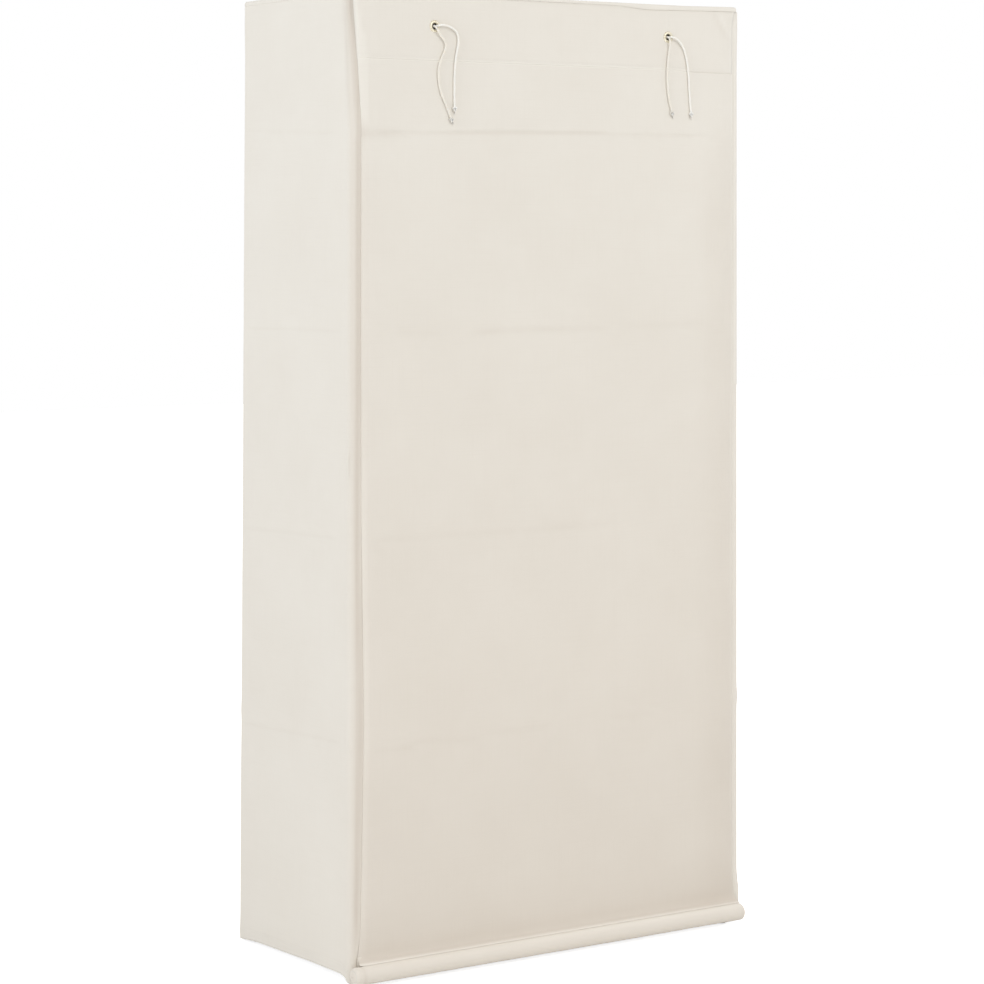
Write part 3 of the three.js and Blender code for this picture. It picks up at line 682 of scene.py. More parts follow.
# A soft shade painted on the left facing, to match the photograph: (mm past the front cloth's
# edge, mark), high up and low down
SHADE_ABOVE = (
    (0, 1.3), (2, 2.0), (4.7, 1.65), (6.7, 1.45), (8.3, 1.3), (10, 1.05), (12, 0.75), (18, 0.75),
    (20, 0.45), (24, 0.15), (28, 0.0),
)
SHADE_BELOW = (
    (0, 0.3), (3.4, 0.8), (5.4, 1.1), (7.4, 1.4), (9.4, 1.3), (11.4, 1.1), (13.4, 0.73), (15.4, 0.45),
    (19, 0.27), (24, 0.15), (30, 0.0),
)
CORNER_FRONT, CORNER_BACK = 13.5 * MM, 15 * MM
COVER_HEM = 18.5 * MM  # how far above the cover's lower edge its hem is sewn
STRIP_LINE = 0.3768  # where the folded strip at the upper left begins, from the middle
SEWN_CORNER = (0.372, 1.677)  # x and height of the slanting fold at the front cloth's upper right
TUCK_HALF = 0.405
BAND_HOLE = 7.2 * MM  # radius cut out of the band round each eyelet
MOST_BACK = 3.6 * MM  # furthest that the front's edges are let back
GATHER = -0.4055  # x of the pinch near the hem roll's left end


def fold_rows(low, high, step=7.5 * MM, fine=2 * MM, folds=FOLDS, reach=16 * MM):
    """Heights of a sheet's rows, closer together near each fold and each end."""
    heights, z = [low], low
    spots = [f for f in folds if low < f < high] + [low, high]
    while z < high:
        near = min(abs(z - f) for f in spots)
        z += fine if near < reach else min(step, fine + (near - reach) * 0.6)
        heights.append(min(z, high))
    if heights[-1] - heights[-2] < fine / 3:
        del heights[-2]
    return np.array(heights)


def crease(u, z, start, end, depth, width=3.2 * MM, fade=30 * MM, seed=0):
    """A pressed fold from start to end, in (u, z): a soft-edged groove that fades at both ends,
    and how much shade is painted along it. Below 0 lies behind the cloth's plane."""
    (u0, z0), (u1, z1) = start, end
    length = math.hypot(u1 - u0, z1 - z0)
    du, dz = (u1 - u0) / length, (z1 - z0) / length
    along = (u - u0) * du + (z - z0) * dz
    wander = 1.3 * MM * waves(along, 0 * along, seed + 50, 60 * MM, 260 * MM, 8)
    away = -(u - u0) * dz + (z - z0) * du + wander
    ends = smooth_step(-fade / 2, fade / 2, along) * smooth_step(-fade / 2, fade / 2, length - along)
    uneven = 0.78 + 0.22 * waves(along, 0 * along, seed + 90, 25 * MM, 150 * MM, 10)
    lobe = np.exp(-np.sqrt((away / width) ** 2 + 0.15))
    lip = 0.35 * np.exp(-(((away - 3.0 * width) / (2.2 * width)) ** 2))
    strength = ends * uneven
    return depth * strength * (-lobe + lip), strength * np.exp(-((away / (1.15 * width)) ** 2))


def add_creases(u, z, rows):
    """The sum of creases given as (start, end, depth in mm, painted shade)."""
    height, mark = np.zeros_like(u), np.zeros_like(u)
    for number, (start, end, depth, shade_weight, *rest) in enumerate(rows):
        h, m = crease(u, z, start, end, depth * MM, *[w * MM for w in rest], seed=number)
        height += h
        mark += m * shade_weight
    return height, mark


def edge_at(edge, z, blur=22 * MM):
    """An edge's x at each height, without the corners of its list."""
    heights, places = np.array(edge).T
    return np.mean([np.interp(z + d, heights, places) for d in np.linspace(-blur, blur, 7)], axis=0)


def wrap_path():
    """The cover's plan from the right facing round the back to the left facing."""
    corners = [
        (FACING_END, FACING, 0),
        (SIDE, FACING, CORNER_FRONT),
        (SIDE, BACK, CORNER_BACK),
        (-SIDE, BACK, CORNER_BACK),
        (-SIDE, FACING, CORNER_FRONT),
        (-FACING_END, FACING, 0),
    ]
    return rounded_path(corners, 8 * MM)


def facing_push(z):
    """How far the left facing comes forward. Where the hem roll can reach it is less."""
    return np.interp(z, (1.45, 1.475), (0.9 * MM, 3.2 * MM))


def wall_creases(left, right, back):
    """The packing creases round the middle of each side, in distance round the wall and height."""
    return [
        ((left - 0.17, 1.478), (left + 0.15, 1.465), 0.50, 0.16),
        ((left - 0.16, 1.125), (left + 0.16, 1.130), 0.60, 0.20),
        ((left - 0.17, 0.762), (left + 0.15, 0.775), 0.50, 0.18),
        ((left - 0.16, 0.405), (left + 0.16, 0.423), 0.55, 0.20),
        ((right - 0.16, 1.471), (right + 0.15, 1.469), 0.55, 0.18),
        ((right - 0.15, 1.132), (right + 0.17, 1.128), 0.65, 0.20),
        ((right - 0.16, 0.776), (right + 0.15, 0.772), 0.60, 0.20),
        ((right - 0.17, 0.418), (right + 0.16, 0.420), 0.60, 0.22),
        ((back - 0.36, 1.469), (back + 0.30, 1.471), 0.70, 0.22),
        ((back - 0.33, 1.128), (back + 0.36, 1.132), 0.80, 0.24),
        ((back - 0.36, 0.776), (back + 0.34, 0.772), 0.75, 0.22),
        ((back - 0.35, 0.420), (back + 0.36, 0.418), 0.80, 0.24),
        ((back - 0.135, 0.10), (back - 0.131, 1.60), 0.60, 0.16),
        ((back + 0.139, 0.12), (back + 0.135, 1.55), 0.60, 0.16),
    ]


def lean_out(grid, z):
    """Leans the whole cover out towards the floor, and lets its lower edge hang uneven."""
    lean = 1 - z / HEIGHT
    x, y = grid[..., 0].copy(), grid[..., 1].copy()
    grid[..., 0] += np.interp(x, (-SIDE, SIDE), (-LEAN_LEFT, LEAN_RIGHT)) * lean
    grid[..., 0] += TOP_RIGHT * np.clip(x / SIDE, 0, 1) ** 4
    flare = smooth_step(0.105, 0.05, z) * smooth_step(FACING + 0.09, FACING + 0.01, y)
    grid[..., 0] += 4.5 * MM * flare * np.clip(x / SIDE, 0, 1) ** 4
    deep = np.clip((y - FACING) / (BACK - FACING), 0, 1.02)
    grid[..., 0] -= 6.0 * MM * deep**2 * lean * np.clip(-x / SIDE, 0, 1) ** 4
    grid[..., 1] += LEAN_BACK * deep * lean
    places = [FACING + d * MM for d in (0, 8, 14, 26)] + [BACK - d * MM for d in (60, 42, 18, 0)]
    left_rise = np.interp(y, places, (-8.0, -3.0, 5.0, 8.5, -2.2, -4.4, -6.6, -7.8))
    right_rise = np.interp(y, places, (1.0, 3.5, 5.5, 8.5, -1.7, -2.8, -4.9, -6.0))
    rise = np.where(x < 0, left_rise, right_rise) * MM
    grid[..., 2] += rise * smooth_step(0.16, 0, z - COVER_BOTTOM)


def wrap_cloth():
    """Sides, back and facings: one sewn wall of cloth that hangs outside the frame."""
    plan, along = wrap_path()
    top = HEIGHT + 0.8 * MM
    rows = fold_rows(COVER_BOTTOM, top)
    s, z = np.meshgrid(along, rows)
    total = along[-1]
    facing = SIDE - FACING_END
    depth = BACK - FACING
    posts = [facing, facing + depth, total - facing - depth, total - facing]
    from_post = np.min([abs(s - p) for p in posts], axis=0)
    from_level = np.min([abs(z - level) for level in (BASE, SHELF, TOP)], axis=0)
    ends = smooth_step(0, 60 * MM, top - z)
    push = 1.7 * MM * waves(s, z, 3, 0.16, 0.75, 26, 1.5) + 0.5 * MM * waves(s, z, 4, 0.05, 0.16, 30, 1.3)
    push = push * smooth_step(0, 45 * MM, from_post) - 1.6 * MM * smooth_step(0, 0.15, from_post)
    hub = bump(from_post, 0, 17 * MM) * bump(from_level, 0, 15 * MM)
    push += 1.0 * MM * hub * (z < 1.6)
    left, right, back = total - facing - depth / 2, facing + depth / 2, total / 2
    folds, mark = add_creases(s, z, wall_creases(left, right, back))
    push = (push + folds) * ends
    room = 0.7 * MM + 3.3 * MM * smooth_step(8 * MM, 60 * MM, np.maximum(from_post, from_level * 0.7))
    push = np.where(push < 0, -room * np.tanh(-push / room), push)
    # Sewn edges: a welt down each back corner and a turned hem at the bottom, with shade painted beside each
    # welt and along the hem
    for post in posts[1:3]:
        push += 1.2 * MM * bump(s, post, 1.9 * MM)
        mark += 0.2 * bump(abs(s - post), 4.5 * MM, 1.4 * MM)
    push += 0.35 * MM * smooth_step(-4 * MM, 2 * MM, COVER_BOTTOM + 17 * MM - z)
    mark += 0.12 * bump(z, COVER_BOTTOM + COVER_HEM, 3.0 * MM)
    # Below the lid's rim the wall swells out to lie flush with it
    push += 1.0 * MM * smooth_step(top, top - 3.3 * MM, z) * smooth_step(top - 0.10, top - 0.03, z)
    # A pucker in the front left corner, and cloth that stays clear of the hem bar
    push += 3.4 * MM * bump(s, posts[3] + 3 * MM, 8 * MM) * bump(z, 0.905, 28 * MM)
    inward = np.minimum(s, total - s)
    push = np.where(inward < facing - 2 * MM, np.minimum(push, 0.4 * MM), push)
    # On the left the facing lies up against the front cloth's free edge
    on_left = s > total / 2
    against = smooth_step(4 * MM, 14 * MM, inward) * smooth_step(42 * MM, 30 * MM, inward)
    against *= smooth_step(0.0405, 0.053, z) * smooth_step(0, 12 * MM, top - z) * on_left
    push = push * (1 - 0.7 * against) + facing_push(z) * against
    past = (inward + edge_at(LEFT_EDGE, z) + FACING_END + 0.95 * LEAN_LEFT * (1 - z / HEIGHT)) / MM
    above = np.interp(past, *zip(*SHADE_ABOVE)) * smooth_step(0.75, 1.15, z)
    below = np.interp(past, *zip(*SHADE_BELOW)) * (1 - smooth_step(0.75, 1.15, z))
    mark += (above + below) * np.interp(z, (0.05, 0.13), (0.2, 1.0)) * on_left
    # Light painted on the right facing near its front corner
    mark -= 0.25 * bump(inward, 37 * MM, 6 * MM) * ~on_left
    near_front = smooth_step(facing + 24 * MM, facing + 4 * MM, inward)
    push -= np.clip(push, 0, None) * near_front * smooth_step(0.09, 0.06, z)
    grid = np.stack([np.interp(s, along, plan[:, 0]), np.interp(s, along, plan[:, 1]), z], 2)
    flat_normal = normals_of(grid)
    grid = grid + flat_normal * push[..., None]
    lean_out(grid, z)
    piece = cloth_sheet("cover_wall", grid, CLOTH, np.stack([s, z], 2), np.clip(mark, -0.6, 2))
    settle(piece, "wardrobe", "cover_cloth", "cover_left_panel", "cover_right_panel", "cover_back_panel")
    row = int(np.argmin(abs(rows - COVER_BOTTOM - COVER_HEM)))
    line = stitches("cover_wall_hem_stitches", grid[row], flat_normal[row], thick=0.18 * MM)
    settle(line, "wardrobe", "cover_cloth")


def lid_cloth():
    """The cover's top: a flat panel over the top rails, sewn to a narrow skirt with a bound edge."""
    loop = [
        (SIDE, 0, 0), (SIDE, BACK, CORNER_BACK), (-SIDE, BACK, CORNER_BACK),
        (-SIDE, FRONT, 16 * MM), (SIDE, FRONT, 16 * MM), (SIDE, 0, 0),
    ]
    plan, along = rounded_path(loop, 8 * MM)
    plan, along = plan[:-1], along[:-1]
    middle = np.array((0, (FRONT + BACK) / 2))
    grid_plan = np.concatenate([plan, np.zeros((len(plan), 1))], 1)
    tangent = np.roll(grid_plan, -1, 0) - np.roll(grid_plan, 1, 0)
    out = np.cross(tangent, (0, 0, 1))[:, :2]
    out /= np.linalg.norm(out, axis=1, keepdims=True)
    # The rim stands up a little: (outward, above the top). Then rings run in towards the middle and
    # stop just short of it, which leaves a small hole there
    rim = [
        (0.75, -1.2), (1.1, -0.7), (1.2, 0.3), (1.25, 2.2), (1.2, 4.2), (0.9, 6.0), (0.2, 7.4),
        (-1.0, 8.2), (-2.8, 8.5), (-5.5, 8.0), (-9.5, 6.6),
    ]
    rings, fades = [], []
    # It stands highest at the front right corner, and its sewn edge hangs lower beside that corner
    in_front = plan[:, 1] < FRONT + 12 * MM
    drop = np.interp(plan[:, 0], (-0.25, 0.05, 0.29, 0.385), (1.2, 3.8, 3.0, 0.6)) * MM
    hang = np.interp(plan[:, 0], (0.14, 0.20, 0.385), (0.0, 4.6, 0.0)) * MM * in_front
    for outward, above in rim:
        level = HEIGHT + above * MM - drop * np.interp(above, (0, 6), (0, 1))
        level = level - hang * np.interp(above, (0, 2), (1, 0))
        rings.append(np.concatenate([plan + out * outward * MM, level[:, None]], 1))
        fades.append(0.0)
    inset = plan - out * 9.5 * MM
    for share in [0.02, 0.05, 0.09, *np.linspace(0.14, 0.985, 24)]:
        flat = inset + (middle - inset) * share
        level = HEIGHT + np.interp(share, (0, 0.03, 0.08, 0.16), (6.6, 4.2, 1.4, -0.35)) * MM
        level = level - drop * np.interp(share, (0, 0.12), (1, 0))
        rings.append(np.concatenate([flat, level[:, None]], 1))
        fades.append(share)
    grid = np.stack(rings)
    fade = np.array(fades)[:, None]
    x, y = grid[..., 0], grid[..., 1]
    reach_x, reach_y = 1 - (x / POST_X) ** 2, 1 - ((y - middle[1]) / (POST_BACK - middle[1])) ** 2
    sag = -4.2 * MM * np.clip(reach_x, 0, 1) ** 0.7 * np.clip(reach_y, 0, 1) ** 0.8
    loose = 0.9 * MM * waves(x, y, 11, 0.07, 0.5, 26) - 0.5 * MM
    grid[..., 2] += sag + loose * smooth_step(0.0, 0.25, fade)
    along_grid = np.broadcast_to(along[None], x.shape)
    pucker = 0.2 * MM * waves(along_grid, 0 * x, 12, 18 * MM, 90 * MM, 30)
    skirt = (np.arange(len(rings)) < 7)[:, None]
    grid[..., :2] += out[None] * (pucker * skirt)[..., None]
    lines = [((0.137, FRONT + 0.03), (0.135, BACK - 0.03), 0.8, 0.2),
             ((-0.139, FRONT + 0.03), (-0.137, BACK - 0.03), 0.8, 0.2)]
    folds, mark = add_creases(x, y, lines)
    grid[..., 2] += folds * smooth_step(0, 0.1, fade)
    mark = mark * smooth_step(0, 0.1, fade)
    # Shadow painted under the rim's sewn edge at the front right, and light painted just above it
    seam = np.array([0.7, 0.5, -0.1, -0.2, -0.2] + [0.0] * (len(rings) - 5))[:, None]
    mark += seam * smooth_step(0.14, 0.24, x) * (y < FRONT + 10 * MM)
    grid[..., 0] += 3.0 * MM * np.clip(x / SIDE, 0, 1) ** 4 * smooth_step(FRONT + 0.02, FRONT + 0.08, y)
    uv = np.stack([x, y], 2)
    uv[:7, :, 0] = along_grid[:7]
    uv[:7, :, 1] = grid[:7, :, 2]
    piece = cloth_sheet("cover_lid", grid, CLOTH * 0.8, uv, mark, loop=True)
    settle(piece, "wardrobe", "cover_cloth", "cover_top_panel")


def strip_line(z):
    return STRIP_LINE + 0.026 * smooth_step(1.585, 1.70, z)


def turn_back(x, z):
    """How far the front cloth's edges lie back, towards the sides. At the upper left a strip of it
    is folded back along a line."""
    strip = np.clip((-x - strip_line(z)) / (SIDE - STRIP_LINE), 0, None)
    left = 5.6 * MM * (np.sqrt(strip**2 + 0.004) - 0.063) * smooth_step(1.40, 1.475, z)
    return left + 1.0 * MM * smooth_step(40 * MM, 0, edge_at(RIGHT_EDGE, z) - x)


def lie_against(back, x, z):
    """Turns the front cloth's free edges back until they touch the cover behind them."""
    left = np.clip(1 - (x - edge_at(LEFT_EDGE, z)) / (14 * MM), 0, 1) ** 2
    left = left * (1 - 0.75 * smooth_step(0.053, 0.043, z))
    right = np.clip(1 - (edge_at(RIGHT_EDGE, z) - x) / (30 * MM), 0, 1) ** 2
    right = right * smooth_step(HEIGHT - 2 * MM, HEIGHT - 30 * MM, z) * smooth_step(0.043, 0.06, z)
    back = back * (1 - left) + (FACING - FRONT - facing_push(z) - 0.1 * MM) * left
    return back * (1 - right) + (FACING - FRONT - 0.9 * MM) * right


def side_light_and_shade(x, z):
    """Light and shade painted at the front's sides to match the photograph, below 0 where paler: a painted
    highlight on the strip that lies double at the upper left, painted shade down the left edge, and painted
    shade over the right side with a painted highlight along its edge."""
    line = strip_line(z)
    strip = -0.3 * smooth_step(line - 2 * MM, line + 4 * MM, -x) * smooth_step(1.46, 1.50, z)
    left = 0.55 * bump(x - edge_at(LEFT_EDGE, z), 3 * MM, 6 * MM)
    left = left * smooth_step(0.7, 1.1, z) * smooth_step(1.50, 1.46, z)
    right = smooth_step(0.30, 0.385, x) * smooth_step(1.52, 1.44, z)
    return strip + left + 0.33 * right - 0.4 * bump(edge_at(RIGHT_EDGE, z) - x, 0, 4 * MM)


def front_columns(columns, z):
    """x of a sheet's columns at each height, drawn out or in to the front's edges near them."""
    x0, z = np.meshgrid(columns, z)
    left = (edge_at(LEFT_EDGE, z) - columns[0]) * smooth_step(0.12, 0, x0 - columns[0])
    right = (edge_at(RIGHT_EDGE, z) - columns[-1]) * smooth_step(0.12, 0, columns[-1] - x0)
    return x0 + left + right, z


def seam_at(x):
    """The height of the band's lower edge, which hangs a little at its right end."""
    return BAND_BOTTOM - 3.0 * MM * smooth_step(0.255, 0.315, x)


def band_cloth():
    """Doubled cloth across the top of the front, folded at its lower edge and sewn in under the lid."""
    columns = np.linspace(-0.403, 0.3865, 112)
    for at in EYELETS.values():
        extra = np.arange(at.x - 14 * MM, at.x + 14.1 * MM, 1.4 * MM)
        columns = columns[np.min(abs(columns[:, None] - extra[None]), axis=1) > 1.0 * MM]
        columns = np.sort(np.concatenate([columns, extra]))
    low, high = BAND_BOTTOM, HEIGHT + 0.8 * MM
    rise = fold_rows(low + MM, high, 7 * MM, 2 * MM, (EYELETS["left"].z,), 14 * MM)
    turn = np.linspace(0, math.pi, 9)[1:-1]
    gap = 0.45 * MM
    inner = [(z, 2 * gap) for z in rise[::-1]]
    bend = [(low + MM - MM * math.sin(t), gap * (1 + math.cos(t))) for t in turn]
    outer = [(z, 0.0) for z in rise]
    section = np.array(inner + bend + outer)
    x, z = front_columns(columns, section[:, 0])
    behind = across_rows(section[:, 1], x)
    ends = smooth_step(0, 8 * MM, high - z) * smooth_step(0, 30 * MM, z - low)
    loose = 0.8 * MM * waves(x, z, 21, 0.09, 0.5, 24) + 0.25 * MM * waves(x, z, 22, 0.025, 0.08, 26)
    calm = 1 - sum(bump(np.hypot(x - at.x, z - at.z), 0, 26 * MM) for at in EYELETS.values())
    lie = np.clip(-loose * ends * calm, 0.0, None) * 0.9
    lines = [
        ((0.350, 1.692), (0.389, 1.664), 1.5, 0.06, 6.0, 14.0),
        ((0.372, 1.640), (0.384, 1.668), 0.8, 0.05, 5.0, 14.0),
        ((-0.4027, 1.6966), (-STRIP_LINE, 1.592), 0.7, 0.12, 3.2, 16.0),
        ((-0.249, 1.661), (-0.252, 1.684), 0.5, 0.05, 3.5, 14.0),
        ((0.249, 1.661), (0.247, 1.683), 0.5, 0.05, 3.5, 14.0),
    ]
    folds, mark = add_creases(x, z, lines)
    back = lie - np.minimum(folds, 0) + turn_back(x, z) * smooth_step(0, 20 * MM, high - z)
    back = lie_against(np.clip(back, 0, MOST_BACK), x, z)
    grid = np.stack([x, FRONT + back + behind, z], 2)
    mark = np.clip(mark, 0, 1) + side_light_and_shade(x, z)
    # Shadow painted along the band's lower fold, strongest at its right end, and light painted just above the
    # fold left of that end
    sewn = np.interp(x, (-0.40, -0.30, -0.27, 0.27, 0.31, 0.38), (0.25, 0.2, 0.0, 0.0, 0.6, 0.5))
    mark += sewn * bump(z, low + 0.5 * MM, 1.6 * MM)
    mark -= (0.35 + 0.5 * bump(x, 0.285, 9 * MM)) * bump(z, low + MM, 1.6 * MM) * smooth_step(0.31, 0.28, x)
    # Light and shade painted along a slanting fold at the sewn-in corner
    beside, over = x - SEWN_CORNER[0], z - SEWN_CORNER[1]
    slant = beside * 0.8 + over * 0.6
    lit = 0.45 * (bump(slant, -7 * MM, 6 * MM) - bump(slant, 3 * MM, 6 * MM))
    mark += lit * bump(np.hypot(beside, over), 0, 24 * MM)
    grid[..., 2] += (seam_at(x) - low) * smooth_step(low + 50 * MM, low, z)
    cut = np.zeros((grid.shape[0] - 1, grid.shape[1] - 1), bool)
    for at in EYELETS.values():
        middle_x = (x[:-1, :-1] + x[1:, 1:]) / 2
        middle_z = (z[:-1, :-1] + z[1:, 1:]) / 2
        cut |= np.hypot(middle_x - at.x, middle_z - at.z) < BAND_HOLE
    length = run_along(section)
    uv = np.stack([x, across_rows(length, x)], 2)
    piece = cloth_sheet("cover_band", grid, CLOTH * 0.44, uv, mark, keep=~cut)
    settle(piece, "wardrobe", "cover_cloth", "cover_front_band")
    row = len(inner) + len(bend) + int(np.argmin(abs(rise - low - 5.5 * MM)))
    out = np.broadcast_to((0.0, -1.0, 0.0), grid[row].shape)
    line = stitches("cover_band_stitches", grid[row, 3:-3], out[3:-3], thick=0.16 * MM)
    settle(line, "wardrobe", "cover_cloth")


REST = 0.12  # where the curtain comes to rest on the hem roll, as an angle back from its top
REST_RADIUS = HEM_RADIUS + 0.5 * MM


# Where the curtain was folded, as (start, end, depth in mm, painted shade, width in mm, fade in mm)
CURTAIN_CREASES = (
    ((-0.320, 1.126), (-0.240, 1.1225), 0.55, 0.18, 5.5, 24.0),
    ((-0.172, 1.1244), (0.110, 1.1247), 0.75, 0.30, 6.0, 36.0),
    ((-0.152, 1.1240), (-0.112, 1.1238), 0.40, 0.22, 4.5, 20.0),
    ((-0.030, 1.1250), (0.030, 1.1253), 0.25, 0.12, 4.5, 30.0),
    ((0.145, 1.1304), (0.335, 1.1272), 0.55, 0.22, 6.0, 50.0),
    ((-0.375, 0.7735), (-0.268, 0.7705), 0.50, 0.16, 5.5, 30.0),
    ((-0.262, 0.7742), (-0.080, 0.7715), 0.55, 0.16, 5.5, 36.0),
    ((-0.066, 0.7724), (0.126, 0.7725), 0.65, 0.22, 6.0, 40.0),
    ((-0.373, 0.766), (-0.349, 0.746), 0.9, 0.22, 7.0, 22.0),
    ((-0.372, 0.4095), (-0.296, 0.4045), 0.60, 0.20, 6.0, 26.0),
    ((-0.290, 0.4165), (-0.156, 0.4097), 0.50, 0.15, 6.0, 30.0),
    ((-0.143, 0.4150), (-0.004, 0.4176), 0.50, 0.18, 6.0, 34.0),
    ((0.129, 0.418), (0.2185, 0.4175), 0.40, 0.12, 6.0, 34.0),
    ((0.134, 0.821), (0.133, 0.405), 0.45, 0.08, 6.0, 60.0),
    ((-0.140, 1.108), (-0.143, 0.808), 0.35, 0.05, 6.5, 80.0),
    ((0.346, 1.405), (0.339, 1.200), 1.0, 0.08, 10.0, 60.0),
    ((0.368, 1.305), (0.348, 1.175), 0.9, 0.06, 9.0, 50.0),
    ((0.348, 1.099), (0.345, 0.952), 0.9, 0.08, 10.0, 50.0),
)


def facing_shows(x, z, back, mark):
    """Adds the edge of the facing sewn inside the curtain's top, which shows through the cloth."""
    level = z - np.interp(x, *zip(*FACING_LINE))
    edge = 0.8 * MM * waves(x, 0 * x, 35, 0.05, 0.3, 10)
    facing = smooth_step(-3.6 * MM, 2.0 * MM, level + edge)
    facing = facing * smooth_step(-2 * MM, 3 * MM, x + STRIP_LINE) * smooth_step(-25 * MM, 25 * MM, 0.325 - x)
    outside = np.where(level < 0, 1 - smooth_step(0, 0.20, -level), 1 - smooth_step(0.02, 0.10, level))
    back += 1.2 * MM * (1 - facing) * outside * smooth_step(0.5, 0.36, x)
    # Shadow painted just below the facing's edge, and shade painted down the strip's fold line above it
    strong = np.interp(x, (-0.374, -0.33, -0.30, -0.24, -0.19, 0.09, 0.13, 0.25, 0.29, 0.33),
                       (0.9, 0.9, 0.4, 0.45, 1.0, 1.0, 0.25, 0.3, 0.6, 0.0))
    thick = np.interp(x, (-0.33, -0.26), (8.5, 4.2)) * MM
    mark += 0.46 * strong * bump(level, -3.0 * MM, thick)
    mark += 0.12 * bump(x, -0.3785, 2.4 * MM) * smooth_step(-8 * MM, 0, level)
    return back, mark


def curtain_cloth():
    """The front curtain, with its folds, its inner facing's edge and its wavy free edges."""
    low, high = HEM_Z + REST_RADIUS * math.cos(REST), BAND_BOTTOM + 9 * MM
    columns = np.concatenate([
        np.linspace(-0.394, 0.3915, 112), [-0.3925, -0.389, 0.3895, 0.387], np.arange(-0.383, -0.369, 2 * MM),
    ])
    rows = fold_rows(low, high, 7.5 * MM, 1.8 * MM, FOLDS, 14 * MM)
    rows = np.concatenate([np.arange(low, low + 12 * MM, 0.8 * MM), rows[rows > low + 12.4 * MM]])
    fine = BAND_BOTTOM + np.arange(-4.8 * MM, 2.1 * MM, 0.4 * MM)
    rows = np.sort(np.concatenate([rows[abs(rows - BAND_BOTTOM + 1.4 * MM) > 4.2 * MM], fine]))
    x, z = front_columns(np.sort(columns), rows)
    body = smooth_step(low, low + 0.10, z) * smooth_step(0, 0.05, BAND_BOTTOM - z)
    # Long soft waves of the hanging cloth, and short ones where it was folded
    back = -1.7 * MM * waves(x, z, 31, 0.20, 0.9, 26, 1.6) - 0.55 * MM * waves(x, z, 32, 0.06, 0.2, 34, 1.2)
    near_fold = sum(bump(z, f, 35 * MM) for f in FOLDS)
    back -= 0.22 * MM * waves(x, z, 33, 0.018, 0.05, 40, 0.8) * near_fold
    folds, mark = add_creases(x, z, CURTAIN_CREASES)
    back -= folds
    back, mark = facing_shows(x, z, back, mark)
    inside = np.minimum(x - edge_at(LEFT_EDGE, z), edge_at(RIGHT_EDGE, z) - x)
    back = back * body * (0.35 + 0.65 * smooth_step(8 * MM, 50 * MM, inside))
    # The right edge ripples
    right = smooth_step(0.09, 0.02, edge_at(RIGHT_EDGE, z) - x)
    back += body * 1.2 * MM * right * np.sin(TURN * z / 0.21)
    # A strip along the free edges comes forward a little, with shade painted along its inner line
    back -= 0.3 * MM * smooth_step(12 * MM, 8 * MM, inside) * body
    mark += 0.08 * bump(inside, 10.5 * MM, 1.6 * MM) * body
    # Cords hang in front, so nothing comes forward under them
    under = smooth_step(1.44, 1.47, z) * smooth_step(0.36, 0.31, abs(x))
    back = np.where(back < 0, back * (1 - under), back)
    # It lies back at its free edges, goes behind the band and comes to rest on the hem roll
    back += turn_back(x, z) * smooth_step(0, 0.03, BAND_BOTTOM - z) * smooth_step(low, low + 0.05, z)
    back += 2.0 * MM * smooth_step(low + 36 * MM, low + 10 * MM, z)
    seam = seam_at(x)
    tuck = smooth_step(seam - 0.5 * MM, seam + 0.5 * MM, z)
    # Light painted in a line just under the band's lower edge, left of its right end
    mark -= 0.5 * bump(z, seam - 0.6 * MM, 1.0 * MM) * smooth_step(0.31, 0.28, x)
    back = back * (1 - tuck) + tuck * (1.2 * MM + np.minimum(turn_back(x, z), MOST_BACK))
    back = np.minimum(back, np.interp(inside, (15 * MM, 40 * MM), (3.3 * MM, 5.4 * MM)) + 1.2 * MM * tuck)
    rest = HEM_Y + REST_RADIUS * math.sin(REST) - FRONT
    back += (rest - 2.0 * MM) * np.exp(-(z - low) / (3.0 * MM))
    rise = 1.2 * MM * tuck
    back = lie_against(back - rise, x, z) + rise
    # Painted shade, deepening towards the foot and in a band just above the roll, and painted light in a line
    # where it meets the roll
    foot = 0.32 * smooth_step(0.55, 0.20, z) + 0.42 * smooth_step(0.17, 0.05, z)
    mark += foot * smooth_step(low + 1.0 * MM, low + 5 * MM, z) - 0.9 * bump(z, low, 1.6 * MM)
    mark += side_light_and_shade(x, z)
    mark += 0.6 * bump(z, low + 4.0 * MM, 2.6 * MM)
    grid = np.stack([x, FRONT + back, z], 2)
    thin = 1 - 0.6 * np.maximum(bump(x, edge_at(LEFT_EDGE, z), 6 * MM), bump(z, low, 5 * MM))
    piece = cloth_sheet("curtain_cloth", grid, CLOTH * thin, np.stack([x, z], 2), np.clip(mark, -0.9, 1.2))
    settle(piece, "wardrobe", "cover_cloth", "front_curtain")
    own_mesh(piece)


